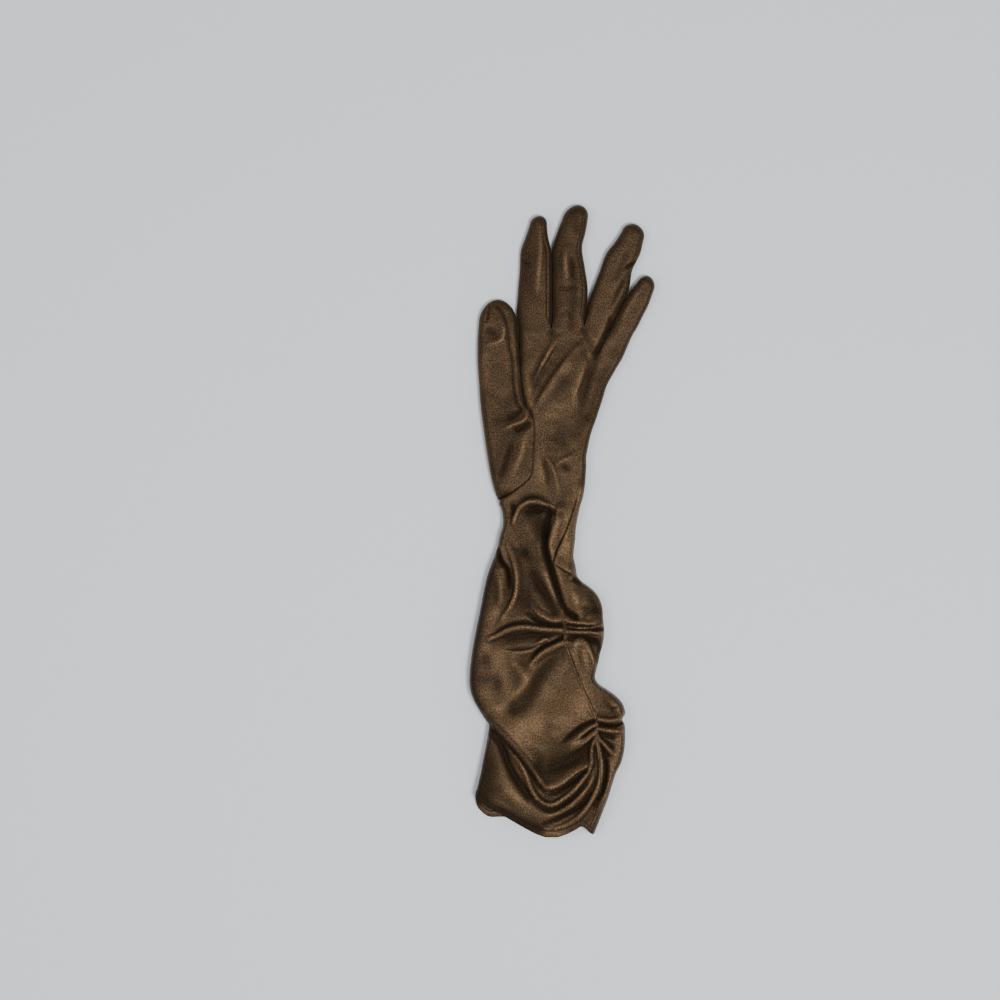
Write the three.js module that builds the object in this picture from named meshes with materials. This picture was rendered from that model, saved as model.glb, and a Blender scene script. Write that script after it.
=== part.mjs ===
// Ruched dress glove for the left hand, lying palm up on a flat surface.
// Millimetres, +Z up, fingers along +Y. The origin is under the middle of the glove.
import * as THREE from "three";

// Cloth
const CLOTH_WALL = 1.0; // satin knit with its seam allowances
const HEM_WALL = 1.8; // the hem is turned, so it is two layers
const HEM_WIDTH = 4.0;
const SEAM_GAP = 0.6; // clearance between pieces along a seam
const HEM_GAP = 0.9; // the same at the hem, before its rows close up along the curve

// Levels of the flattened tube above the surface
const FINGER_FOLD_LEVEL = 3.6; // where front and back meet at a finger's side
const ARM_FOLD_LEVEL = 5.0;
const FINGER_CROWN = 9.6; // height of the front of a finger
const SIDE_ROUND = 9.0; // how far in from a side the front of hand and arm rounds down
const SOLE_ROUND = 5.0; // the same for the back, which is flat inside that
const THUMB_SIDE_ROUND = 5.0; // the same for the front beside the thumb seam
const FRONT_ROUND_SHARE = 0.45; // share of a finger's width that rounds down at each side of its front
const BACK_ROUND_SHARE = 0.28; // the same for its back
const TIP_ROUND = 5.5; // length over which a fingertip closes
const THUMB_TIP_ROUND = 9.0; // the same for the thumb
const FOLD_FADE = 4.0; // the folds run out this close to a side
const LAP_REACH = 8.0; // they run on this far beyond the thumb seam

// Places along the length
const HEM_Y = -200.0;
const WRIST_Y = 13.7; // lower end of the thumb seam
const CROTCH_Y = 73.5; // where thumb and hand part
const KNUCKLE_Y = 121.6; // base of the index finger at its outer side
const HEM_BEND_REACH = 60.0; // the rows follow the curved hem over this length

// Grid sizes
const FRONT_COLUMNS_PER_FINGER = 5;
const BACK_COLUMNS_PER_FINGER = 3;
const WRAP_COLUMNS = 5; // from the right side round to the arm seam
const THUMB_COLUMNS = 6;
const SIDE_BUNCHING = 0.07; // how far the columns move towards the sides
const WRAP_BUNCHING = 1.4; // the same for the columns from the right side to the arm seam

// Sections of arm and hand, from the hem up. left and right are the edges of the flattened tube.
// Above the wrist, left is the thumb seam and then the side of the hand. seam is the arm seam, which
// runs on the right side of the hand and comes round onto the front of the arm. crown is the height.
const SECTIONS = [
  { y: -204, left: -57.5, seam: 16.5, right: 20.0, crown: 11.0 },
  { y: -196, left: -57.3, seam: 18.8, right: 23.4, crown: 12.0 },
  { y: -188, left: -57.0, seam: 21.8, right: 26.7, crown: 13.0 },
  { y: -179, left: -56.8, seam: 23.4, right: 29.9, crown: 13.5 },
  { y: -171, left: -55.0, seam: 24.3, right: 32.5, crown: 14.0 },
  { y: -163, left: -53.0, seam: 24.7, right: 35.1, crown: 14.0 },
  { y: -155, left: -51.4, seam: 24.3, right: 38.6, crown: 14.0 },
  { y: -147, left: -49.7, seam: 23.7, right: 40.4, crown: 14.0 },
  { y: -140, left: -48.4, seam: 22.8, right: 41.0, crown: 14.0 },
  { y: -132, left: -47.5, seam: 23.0, right: 40.3, crown: 14.0 },
  { y: -129, left: -49.5, seam: 22.6, right: 39.0, crown: 14.0 },
  { y: -124, left: -52.8, seam: 21.3, right: 41.0, crown: 14.0 },
  { y: -117, left: -56.9, seam: 18.2, right: 38.4, crown: 14.0 },
  { y: -110, left: -59.5, seam: 14.8, right: 29.9, crown: 14.0 },
  { y: -103, left: -60.1, seam: 11.8, right: 21.7, crown: 14.0 },
  { y: -95, left: -59.7, seam: 8.6, right: 22.7, crown: 14.0 },
  { y: -86, left: -58.6, seam: 5.2, right: 24.8, crown: 14.0 },
  { y: -78, left: -57.3, seam: 2.6, right: 26.8, crown: 14.0 },
  { y: -70, left: -55.8, seam: 2.4, right: 27.3, crown: 14.0 },
  { y: -62, left: -54.1, seam: 1.2, right: 26.6, crown: 14.0 },
  { y: -55, left: -52.6, seam: 0.4, right: 25.9, crown: 14.0 },
  { y: -48, left: -51.4, seam: -1.0, right: 22.8, crown: 14.0 },
  { y: -41, left: -49.9, seam: -2.8, right: 15.0, crown: 13.8 },
  { y: -34, left: -48.1, seam: -4.6, right: 10.4, crown: 13.5 },
  { y: -26, left: -45.2, seam: -5.7, right: 7.8, crown: 13.0 },
  { y: -18, left: -42.3, seam: -2.9, right: 7.8, crown: 12.6 },
  { y: -10, left: -40.6, seam: 0.5, right: 8.6, crown: 12.3 },
  { y: -2, left: -38.4, seam: 3.9, right: 9.4, crown: 12.0 },
  { y: 6, left: -39.0, seam: 7.0, right: 11.1, crown: 11.8 },
  { y: 13.7, left: -40.5, seam: 9.1, right: 13.2, crown: 11.5 },
  { y: 18.5, left: -32.3, seam: 10.7, right: 14.2, crown: 11.3 },
  { y: 23, left: -26.4, seam: 12.2, right: 14.9, crown: 11.1 },
  { y: 27.5, left: -21.4, seam: 13.3, right: 15.3, crown: 11.0 },
  { y: 33, left: -19.6, seam: 15.6, right: 15.6, crown: 11.0 },
  { y: 41, left: -18.9, seam: 15.7, right: 15.7, crown: 11.0 },
  { y: 48, left: -18.7, seam: 16.9, right: 16.9, crown: 11.0 },
  { y: 57, left: -18.2, seam: 18.9, right: 18.9, crown: 10.8 },
  { y: 65, left: -18.8, seam: 21.8, right: 21.8, crown: 10.6 },
  { y: 70, left: -20.0, seam: 23.4, right: 23.4, crown: 10.5 },
  { y: 73.5, left: -22.9, seam: 24.6, right: 24.6, crown: 10.4 },
  { y: 80, left: -24.9, seam: 26.7, right: 26.7, crown: 10.2 },
  { y: 88, left: -26.2, seam: 29.2, right: 29.2, crown: 10.0 },
  { y: 98, left: -27.0, seam: 34.7, right: 34.7, crown: 9.8 },
  { y: 108, left: -27.6, seam: 40.3, right: 40.3, crown: 9.6 },
  { y: 121.6, left: -28.0, seam: 47.0, right: 47.0, crown: 9.4 },
];

// Curve of the hem, across the glove
const HEM_CURVE = [
  { x: -58, y: -175.5 },
  { x: -47, y: -184.5 },
  { x: -35, y: -192.0 },
  { x: -22, y: -199.5 },
  { x: -10, y: -204.5 },
  { x: -2, y: -204.8 },
  { x: 8, y: -200.5 },
  { x: 14, y: -198.0 },
  { x: 21, y: -203.0 },
];

// Thumb, from the lower end of its seam to its tip. under is its join to the back of the hand,
// below the part that lies on the surface.
const THUMB_SECTIONS = [
  { y: 13.7, left: -41.4, right: -41.1, under: -41.1, crown: 5.2 },
  { y: 18.5, left: -43.5, right: -33.0, under: -40.0, crown: 9.8 },
  { y: 27.5, left: -45.9, right: -22.0, under: -38.2, crown: 11.0 },
  { y: 41, left: -48.4, right: -19.5, under: -34.4, crown: 11.0 },
  { y: 57, left: -50.7, right: -18.8, under: -29.6, crown: 10.8 },
  { y: 70, left: -52.4, right: -20.6, under: -25.2, crown: 10.4 },
  { y: 73.5, left: -52.8, right: -24.1, under: -23.4, crown: 10.2 },
  { y: 80, left: -53.4, right: -26.3, under: -26.3, crown: 9.8 },
  { y: 90, left: -54.0, right: -27.7, under: -27.7, crown: 9.4 },
  { y: 104, left: -54.9, right: -28.6, under: -28.6, crown: 9.2 },
  { y: 118, left: -54.8, right: -28.9, under: -28.9, crown: 9.0 },
  { y: 128, left: -53.6, right: -30.1, under: -30.1, crown: 8.8 },
  { y: 135, left: -51.6, right: -31.8, under: -31.8, crown: 8.6 },
  { y: 140, left: -48.8, right: -35.1, under: -35.1, crown: 8.4 },
  { y: 143.3, left: -44.5, right: -38.8, under: -38.8, crown: 8.2 },
];

// Fingers: each row is one section, from its left side to its right side. rightInset and leftInset
// are how far in from a side the seam of its side strip lies on the front.
const FINGERS = [
  {
    name: "index",
    rightInset: 3.4,
    leftInset: 0,
    sections: [
      { leftX: -28.0, leftY: 121.6, rightX: -6.8, rightY: 122.9 },
      { leftX: -29.4, leftY: 135.0, rightX: -7.3, rightY: 135.0 },
      { leftX: -28.7, leftY: 149.0, rightX: -7.3, rightY: 149.0 },
      { leftX: -27.5, leftY: 163.0, rightX: -7.2, rightY: 163.0 },
      { leftX: -26.9, leftY: 175.0, rightX: -7.6, rightY: 175.0 },
      { leftX: -23.6, leftY: 184.0, rightX: -9.4, rightY: 184.0 },
      { leftX: -21.2, leftY: 192.5, rightX: -9.9, rightY: 192.5 },
      { leftX: -17.6, leftY: 197.4, rightX: -12.2, rightY: 197.4 },
    ],
  },
  {
    name: "middle",
    rightInset: 3.4,
    leftInset: 1.0,
    sections: [
      { leftX: -6.8, leftY: 122.9, rightX: 14.3, rightY: 124.8 },
      { leftX: -6.1, leftY: 135.0, rightX: 13.6, rightY: 135.0 },
      { leftX: -6.1, leftY: 150.0, rightX: 16.8, rightY: 150.0 },
      { leftX: -6.0, leftY: 163.0, rightX: 15.2, rightY: 163.0 },
      { leftX: -5.9, leftY: 177.0, rightX: 13.2, rightY: 177.0 },
      { leftX: -3.0, leftY: 189.0, rightX: 15.6, rightY: 189.0 },
      { leftX: 1.0, leftY: 198.5, rightX: 16.2, rightY: 198.5 },
      { leftX: 6.5, leftY: 204.6, rightX: 13.6, rightY: 204.6 },
    ],
  },
  {
    name: "ring",
    rightInset: 1.0,
    leftInset: 1.0,
    sections: [
      { leftX: 14.3, leftY: 124.8, rightX: 26.7, rightY: 116.4 },
      { leftX: 17.3, leftY: 140.0, rightX: 31.4, rightY: 126.0 },
      { leftX: 21.0, leftY: 152.5, rightX: 37.5, rightY: 139.5 },
      { leftX: 24.5, leftY: 163.0, rightX: 43.2, rightY: 150.2 },
      { leftX: 28.4, leftY: 173.4, rightX: 45.6, rightY: 162.5 },
      { leftX: 34.2, leftY: 181.0, rightX: 50.6, rightY: 173.0 },
      { leftX: 39.2, leftY: 188.0, rightX: 52.7, rightY: 183.0 },
      { leftX: 44.0, leftY: 192.4, rightX: 50.4, rightY: 190.8 },
    ],
  },
  {
    name: "little",
    rightInset: 0,
    leftInset: 1.0,
    sections: [
      { leftX: 26.7, leftY: 116.4, rightX: 40.3, rightY: 108.0 },
      { leftX: 32.5, leftY: 125.3, rightX: 45.4, rightY: 119.8 },
      { leftX: 36.0, leftY: 133.2, rightX: 48.8, rightY: 125.5 },
      { leftX: 39.8, leftY: 141.3, rightX: 52.0, rightY: 132.0 },
      { leftX: 44.4, leftY: 149.4, rightX: 55.8, rightY: 139.4 },
      { leftX: 48.2, leftY: 154.4, rightX: 58.4, rightY: 146.4 },
      { leftX: 51.0, leftY: 157.2, rightX: 60.0, rightY: 151.4 },
      { leftX: 54.0, leftY: 159.0, rightX: 58.4, rightY: 156.0 },
    ],
  },
];
// Stations along a finger, from its base to its tip
const FINGER_STATIONS = [0, 0.12, 0.27, 0.43, 0.58, 0.73, 0.86, 0.95, 1];
const BACK_INSET = 0.6; // how far in from the side a strip reaches on the back
const BASE_BLEND = 11; // a finger turns from the flat hand to its own round over this length
const STRIP_LEAN = 0.5; // how far the front edge of a wide strip leans down into the cloth
const STRIP_THIRDS = [0.33, 0.67]; // its two inner columns, before it bends round the finger
const STRIP_BEND = 0.3; // share of the inset where it bends round
const STRIP_GAP_MAX = 0.42; // largest share of its width that its gap takes, near the tip

// Folds of the front. rise is the height of a ridge or, below zero, the depth of a valley, and spread
// is its half width. Those of the arm fan out from the two gathers of the arm seam.
const FOLDS = [
  {
    fold: "upper gather, first ridge",
    rise: 2.6,
    spread: 1.9,
    path: [[1.3, -63.7], [-8.5, -63.7], [-16.3, -59.8], [-19.5, -56]],
  },
  {
    fold: "upper gather, first valley",
    rise: -3.0,
    spread: 1.7,
    path: [[0.7, -66.6], [-11.7, -67], [-23.4, -62]],
  },
  {
    fold: "upper gather, long ridge",
    rise: 3.4,
    spread: 2.2,
    path: [[2.3, -70.2], [-11.7, -70.2], [-24, -68.3], [-36.4, -71.5], [-47.5, -75.4]],
  },
  {
    fold: "upper gather, long valley",
    rise: -3.6,
    spread: 2.8,
    path: [[0, -74.4], [-17.6, -75.2], [-33.8, -77], [-45.5, -78]],
  },
  {
    fold: "upper gather, lower ridge",
    rise: 3.0,
    spread: 2.6,
    path: [[2.3, -78], [-7.8, -81.9], [-15.6, -87.1], [-19, -90]],
  },
  {
    fold: "upper gather, right ridge",
    rise: 2.2,
    spread: 1.7,
    path: [[2.6, -64.2], [15, -66], [21, -66]],
  },
  {
    fold: "upper gather, right valley",
    rise: -2.4,
    spread: 1.6,
    path: [[2.6, -67.4], [16.3, -68.4], [25, -69.4]],
  },
  {
    fold: "upper gather, right edge ridge",
    rise: 2.8,
    spread: 1.8,
    path: [[2.6, -71.2], [18.2, -71.6], [26, -72.8]],
  },
  {
    fold: "upper gather, right hollow",
    rise: -2.6,
    spread: 2.8,
    path: [[4, -76], [16, -77.5], [25, -80]],
  },
  {
    fold: "upper gather, pocket above",
    rise: -2.8,
    spread: 2.0,
    path: [[2.5, -58.5], [8, -61], [15, -62]],
  },
  { fold: "pocket below the gather", rise: 2.4, spread: 3.4, path: [[10, -81], [12, -92], [15, -100]] },
  {
    fold: "wrist ridge",
    rise: 3.4,
    spread: 2.2,
    path: [[-31, 0.7], [-26.7, 9.8], [-18.9, 12.6], [-9.1, 9.8], [-3, 7.4]],
  },
  {
    fold: "hollow above the wrist ridge",
    rise: -1.8,
    spread: 2.2,
    path: [[-31, 13], [-19.5, 17], [-8, 14.4]],
  },
  { fold: "wrist pocket", rise: -3.0, spread: 3.0, path: [[-20, 6.4], [-11, 5.4], [-5, 4]] },
  {
    fold: "long groove of the arm",
    rise: -4.6,
    spread: 3.0,
    path: [[-11, 2], [-11, -8], [-10, -23], [-5.5, -36.4], [-1, -48.8], [2.5, -57]],
  },
  {
    fold: "ridge right of the groove",
    rise: 1.8,
    spread: 2.6,
    path: [[-4.5, 2], [-5.8, -12], [-6.2, -17]],
  },
  { fold: "bulge right of the groove", rise: 1.8, spread: 4.0, path: [[4, -36], [9, -48]] },
  {
    fold: "ridge left of the groove",
    rise: 2.0,
    spread: 4.0,
    path: [[-24, 2], [-20, -14], [-17, -30], [-14, -42]],
  },
  {
    fold: "valley at the left of the arm",
    rise: -3.6,
    spread: 3.0,
    path: [[-43, -16], [-40.3, -26], [-35.5, -35], [-34.6, -44]],
  },
  {
    fold: "ridge at the left of the arm",
    rise: 2.8,
    spread: 2.4,
    path: [[-36, -14], [-30.8, -31.2], [-30.4, -46], [-37, -60]],
  },
  {
    fold: "shadow above the gather",
    rise: -2.6,
    spread: 4.2,
    path: [[-18.2, -44], [-9.1, -51.5], [-4, -59]],
  },
  {
    fold: "soft valley of the arm",
    rise: -2.6,
    spread: 4.0,
    path: [[-16.3, -95], [-16.3, -106], [-24, -117], [-35, -121.6]],
  },
  {
    fold: "broad puff of the arm",
    rise: 2.4,
    spread: 13.0,
    path: [[-28, -132], [-6, -132], [4, -124]],
  },
  {
    fold: "lower gather, top ridge",
    rise: 2.2,
    spread: 1.8,
    path: [[23.4, -128.1], [35, -128.1], [39.6, -125]],
  },
  { fold: "lower gather, top valley", rise: -2.4, spread: 1.7, path: [[24.7, -131.3], [39, -132]] },
  {
    fold: "lower gather, middle ridge",
    rise: 2.2,
    spread: 1.8,
    path: [[23.4, -134.2], [33.8, -135.4], [40, -136.2]],
  },
  {
    fold: "lower gather, middle valley",
    rise: -2.2,
    spread: 1.8,
    path: [[24.7, -138], [32.5, -141.4], [37, -145.6]],
  },
  {
    fold: "lower gather, slant ridge",
    rise: 2.2,
    spread: 1.8,
    path: [[23.4, -140.4], [27.3, -144.3], [33.2, -150.2]],
  },
  {
    fold: "lower gather, left valley",
    rise: -2.6,
    spread: 2.8,
    path: [[19.5, -129.4], [5.2, -137.2], [-5.2, -146.3]],
  },
  {
    fold: "lower gather, left ridge",
    rise: 2.4,
    spread: 2.6,
    path: [[22.8, -134], [16.3, -141], [7.8, -148]],
  },
  {
    fold: "hollow inside the swag",
    rise: -3.4,
    spread: 4.0,
    path: [[15, -153], [2, -154], [-10.4, -154]],
  },
  { fold: "inner swag", rise: 1.8, spread: 2.2, path: [[16, -160], [6, -167], [-6, -172.4]] },
  {
    fold: "swag ridge",
    rise: 3.4,
    spread: 2.8,
    path: [
      [22.8, -138.5], [18.9, -149.5], [16.3, -163.2], [6.5, -175],
      [-3.9, -182.4], [-13, -180.7], [-20.2, -169.7], [-28.6, -152.8],
    ],
  },
  {
    fold: "valley outside the swag",
    rise: -2.8,
    spread: 2.6,
    path: [
      [20.4, -155.4], [17.8, -168], [9.4, -179], [-2.6, -187],
      [-14.6, -185.8], [-24.4, -172], [-33, -156],
    ],
  },
  {
    fold: "outer swag ridge",
    rise: 3.4,
    spread: 2.2,
    path: [[22.1, -144.3], [23.2, -159.3], [20, -175.5], [14, -188], [4, -195]],
  },
  {
    fold: "valley right of the swag",
    rise: -2.8,
    spread: 1.8,
    path: [[25.6, -150], [26.6, -165], [23.2, -181]],
  },
  {
    fold: "valley under the turned fold",
    rise: -4.0,
    spread: 3.0,
    path: [[-47.5, -133], [-37, -143.6], [-28.6, -153.4], [-20.8, -163], [-13.6, -173]],
  },
  {
    fold: "edge of the turned fold",
    rise: 2.4,
    spread: 3.2,
    path: [[-44, -129], [-33, -139], [-24.6, -149], [-16.6, -158.6], [-9.4, -169]],
  },
  { fold: "palm crease, first ridge", rise: 1.2, spread: 2.0, path: [[-6.5, 112.5], [-14.3, 99.5]] },
  {
    fold: "palm crease, first valley",
    rise: -1.6,
    spread: 2.0,
    path: [[-1.3, 111.2], [-11, 98.2], [-20.8, 82]],
  },
  { fold: "palm crease, second ridge", rise: 1.0, spread: 2.6, path: [[5.2, 108], [-7.8, 95]] },
  { fold: "palm crease, third ridge", rise: 1.0, spread: 2.8, path: [[15, 101.4], [8.5, 78.7]] },
  {
    fold: "palm crease, side valley",
    rise: -1.6,
    spread: 2.6,
    path: [[19.8, 100.8], [16.9, 85.2], [15, 72.2]],
  },
  {
    fold: "groove below the little finger",
    rise: -2.2,
    spread: 1.8,
    path: [[26.4, 115], [22.1, 108.6], [20.2, 102.7]],
  },
  { fold: "dent of the palm", rise: -1.2, spread: 4.0, path: [[-3, 60], [-7, 52], [-9, 30]] },
  { fold: "thumb base valley", rise: -1.6, spread: 2.6, path: [[-30.6, 56], [-37, 36.4]] },
  { fold: "thumb base ridge", rise: 1.0, spread: 2.4, path: [[-24, 56], [-27.3, 42.9]] },
  { fold: "curl at the thumb crotch", rise: 1.2, spread: 1.6, path: [[-26.7, 64.2], [-37, 60.5]] },
  { fold: "dimple of the thumb", rise: -1.2, spread: 3.0, path: [[-47.5, 123], [-46, 121]] },
];

// Smooth value of one named column of a table, at a place between its rows
function smoothColumn(rows, key, column) {
  return (at) => {
    let k = 0;
    while (k < rows.length - 2 && rows[k + 1][key] < at) k += 1;
    const slope = (i) => {
      const a = rows[Math.max(i - 1, 0)];
      const b = rows[Math.min(i + 1, rows.length - 1)];
      return (b[column] - a[column]) / (b[key] - a[key]);
    };
    const [p, q] = [rows[k], rows[k + 1]];
    const span = q[key] - p[key];
    const s = THREE.MathUtils.clamp((at - p[key]) / span, 0, 1);
    const h = s * s * (3 - 2 * s);
    const bow = s * (1 - s) * span * ((1 - s) * slope(k) - s * slope(k + 1));
    const steady = p[column] === q[column] ? 0 : bow;
    return p[column] + (q[column] - p[column]) * h + steady;
  };
}

const armLeft = smoothColumn(SECTIONS, "y", "left");
const armRight = smoothColumn(SECTIONS, "y", "right");
const armSeam = smoothColumn(SECTIONS, "y", "seam");
const armCrown = smoothColumn(SECTIONS, "y", "crown");
const hemLine = smoothColumn(HEM_CURVE, "x", "y");
const thumbLeft = smoothColumn(THUMB_SECTIONS, "y", "left");
const thumbUnder = smoothColumn(THUMB_SECTIONS, "y", "under");
const thumbSide = smoothColumn(THUMB_SECTIONS, "y", "right");
const thumbCrown = smoothColumn(THUMB_SECTIONS, "y", "crown");

const { lerp, smoothstep } = THREE.MathUtils;

// Fall of a rounded edge: 1 at the edge, 0 from the end of the round on
function edgeFall(distance, round) {
  const s = 1 - THREE.MathUtils.clamp(distance / round, 0, 1);
  return 1 - Math.sqrt(1 - s * s);
}

// Height that the folds add at a place on the front
function foldHeight(x, y) {
  let height = 0;
  for (const { rise, spread, path } of FOLDS) {
    let nearest = Infinity;
    for (let k = 0; k < path.length - 1; k += 1) {
      const [ax, ay] = path[k];
      const [bx, by] = path[k + 1];
      const along = ((x - ax) * (bx - ax) + (y - ay) * (by - ay)) / ((bx - ax) ** 2 + (by - ay) ** 2);
      const s = THREE.MathUtils.clamp(along, 0, 1);
      nearest = Math.min(nearest, Math.hypot(x - lerp(ax, bx, s), y - lerp(ay, by, s)));
    }
    height += rise * Math.exp(-((nearest / spread) ** 2));
  }
  return height;
}

// A cloth surface: points shared by its triangles, and for points on a seam the way into the cloth
class Sheet {
  constructor() {
    this.points = [];
    this.inward = [];
    this.places = new Map();
    this.triangles = [];
  }

  vertex({ point, inward }) {
    const key = point.toArray().map((value) => Math.round(value * 1e4)).join();
    if (!this.places.has(key)) {
      this.places.set(key, this.points.length);
      this.points.push(point);
      this.inward.push(inward ?? null);
    }
    return this.places.get(key);
  }

  triangle(a, b, c) {
    if (a !== b && b !== c && c !== a) this.triangles.push([a, b, c]);
  }

  // Adds a grid of points. outside is 1 where the rows run up and the columns run right on the front.
  // Each cell is split along its more level diagonal, which follows the folds.
  grid(rows, outside = 1) {
    const ids = rows.map((row) => row.map((corner) => this.vertex(corner)));
    for (let i = 0; i < ids.length - 1; i += 1) {
      for (let j = 0; j < ids[i].length - 1; j += 1) {
        const [a, b, c, d] = [ids[i][j], ids[i][j + 1], ids[i + 1][j + 1], ids[i + 1][j]];
        const [second, fourth] = outside > 0 ? [b, d] : [d, b];
        const [za, zb, zc, zd] = [a, b, c, d].map((id) => this.points[id].z);
        if (Math.abs(za - zc) <= Math.abs(zb - zd)) {
          this.triangle(a, second, c);
          this.triangle(a, c, fourth);
        } else {
          this.triangle(second, c, fourth);
          this.triangle(a, second, fourth);
        }
      }
    }
  }

  // Joins two rows that have different numbers of points
  zip(lower, upper, outside = 1) {
    const [below, above] = [lower, upper].map((row) => row.map((corner) => this.vertex(corner)));
    let [i, j] = [0, 0];
    while (i < below.length - 1 || j < above.length - 1) {
      const stepBelow = (i + 1) / (below.length - 1) <= (j + 1) / (above.length - 1);
      const next = stepBelow ? below[i + 1] : above[j + 1];
      if (outside > 0) this.triangle(below[i], next, above[j]);
      else this.triangle(below[i], above[j], next);
      if (stepBelow) i += 1;
      else j += 1;
    }
  }

  // The closed solid of this surface and its inner side, one wall further in
  solid(wall) {
    const normals = this.points.map(() => new THREE.Vector3());
    const border = new Map();
    for (const corners of this.triangles) {
      const [a, b, c] = corners.map((id) => this.points[id]);
      const normal = b.clone().sub(a).cross(c.clone().sub(a));
      corners.forEach((id, k) => {
        normals[id].add(normal);
        const next = corners[(k + 1) % 3];
        const twin = `${next},${id}`;
        if (border.has(twin)) border.delete(twin);
        else border.set(`${id},${next}`, [id, next]);
      });
    }
    const count = this.points.length;
    const inner = this.points.map((point, id) => {
      const normal = normals[id].clone().normalize().negate();
      const section = normal.clone().setY(0).normalize();
      const way = this.inward[id] === "section" ? section : (this.inward[id] ?? normal);
      return point.clone().addScaledVector(way, wall);
    });
    const position = [...this.points, ...inner].flatMap((point) => point.toArray());
    const index = this.triangles.flatMap(([a, b, c]) => [a, b, c, a + count, c + count, b + count]);
    for (const [a, b] of border.values()) index.push(b, a, a + count, b, a + count, b + count);
    const geometry = new THREE.BufferGeometry();
    geometry.setAttribute("position", new THREE.Float32BufferAttribute(position, 3));
    geometry.setIndex(index);
    geometry.computeVertexNormals();
    return geometry;
  }
}

const DOWN = new THREE.Vector3(0, 0, -1);
const UP = new THREE.Vector3(0, 0, 1);
const RIGHT = new THREE.Vector3(1, 0, 0);
const LEFT = new THREE.Vector3(-1, 0, 0);

// Way into the cloth between two directions
function between(from, to, share) {
  return from.clone().lerp(to, share).normalize();
}

// Level where front and back meet at the side of arm and hand
function foldLevel(y) {
  return lerp(ARM_FOLD_LEVEL, FINGER_FOLD_LEVEL, smoothstep(y, CROTCH_Y, KNUCKLE_Y));
}

// The thumb seam lies on top of the front, and comes down to the side at both of its ends
const SEAM_RISE = 6.0;
const SEAM_FALL = 9.0;
const SEAM_OVERRUN = 2.0;

function thumbSeamShare(y) {
  const rise = smoothstep(y, WRIST_Y, WRIST_Y + SEAM_RISE);
  return rise * (1 - smoothstep(y, CROTCH_Y - SEAM_FALL, CROTCH_Y + SEAM_OVERRUN));
}

// Height of the front of arm and hand, without the edge of the thumb
function frontHeight(x, y) {
  const [left, right, crown, level] = [armLeft(y), armRight(y), armCrown(y), foldLevel(y)];
  const leftLevel = lerp(level, crown, thumbSeamShare(y));
  const round = lerp(SIDE_ROUND, THUMB_SIDE_ROUND, smoothstep(y, WRIST_Y, CROTCH_Y));
  const fall = (crown - leftLevel) * edgeFall(x - left, round) + (crown - level) * edgeFall(right - x, round);
  const fromSide = Math.min(x - left + LAP_REACH * thumbSeamShare(y), right - x);
  return crown - fall + foldHeight(x, y) * smoothstep(fromSide, 0, FOLD_FADE);
}

// The cloth dips to the side strips where two fingers part
const CROTCHES = FINGERS.slice(1).map(({ sections }) => [sections[0].leftX, sections[0].leftY]);
const CROTCH_TOP = 6.0;
const CROTCH_BOTTOM = 2.2;
const CROTCH_SPREAD = 3.2;

function crotchShare(x, y) {
  const nearest = Math.min(...CROTCHES.map(([cx, cy]) => Math.hypot(x - cx, y - cy)));
  return Math.exp(-((nearest / CROTCH_SPREAD) ** 2));
}

function palmHeight(x, y) {
  return lerp(frontHeight(x, y), CROTCH_TOP, crotchShare(x, y));
}

// Under the thumb, its join to the back lies flat, and comes up to the side at both ends
function thumbUnderShare(y) {
  return smoothstep(y, WRIST_Y, WRIST_Y + SEAM_RISE) * (1 - smoothstep(y, CROTCH_Y - SEAM_FALL, CROTCH_Y));
}

// Height of the back of arm and hand: flat on the surface, up at the sides
function backHeight(x, y) {
  const left = y > WRIST_Y && y <= CROTCH_Y ? thumbUnder(y) : armLeft(y);
  const level = foldLevel(y);
  const leftRise = level * (1 - thumbUnderShare(y)) * edgeFall(x - left, SOLE_ROUND);
  const rise = leftRise + level * edgeFall(armRight(y) - x, SOLE_ROUND);
  return lerp(rise, CROTCH_BOTTOM, crotchShare(x, y));
}

// Section of a finger at a station from 0 at its base to 1 at its tip. It runs straight across.
function fingerSection(finger, station) {
  const rows = finger.sections;
  const k = Math.min(Math.floor(station * (rows.length - 1)), rows.length - 2);
  const s = station * (rows.length - 1) - k;
  const blend = (column) => {
    const value = (i) => rows[THREE.MathUtils.clamp(i, 0, rows.length - 1)][column];
    const [a, b, c, d] = [value(k - 1), value(k), value(k + 1), value(k + 2)];
    return b + 0.5 * s * (c - a + s * (2 * a - 5 * b + 4 * c - d + s * (3 * (b - c) + d - a)));
  };
  const left = new THREE.Vector2(blend("leftX"), blend("leftY"));
  const right = new THREE.Vector2(blend("rightX"), blend("rightY"));
  const middle = left.clone().add(right).multiplyScalar(0.5);
  const middleOf = ({ leftX, leftY, rightX, rightY }) =>
    new THREE.Vector2(leftX + rightX, leftY + rightY).multiplyScalar(0.5);
  const toTip = middle.distanceTo(middleOf(rows.at(-1)));
  const fromBase = middle.distanceTo(middleOf(rows[0]));
  const across = right.clone().sub(left);
  const outward = new THREE.Vector3(across.x, across.y, 0).normalize();
  return {
    left,
    right,
    width: across.length(),
    outward,
    towardsBase: new THREE.Vector3(outward.y, -outward.x, 0),
    open: Math.sqrt(1 - (1 - THREE.MathUtils.clamp(toTip / TIP_ROUND, 0, 1)) ** 2),
    free: smoothstep(fromBase, 0, BASE_BLEND),
  };
}

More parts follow.
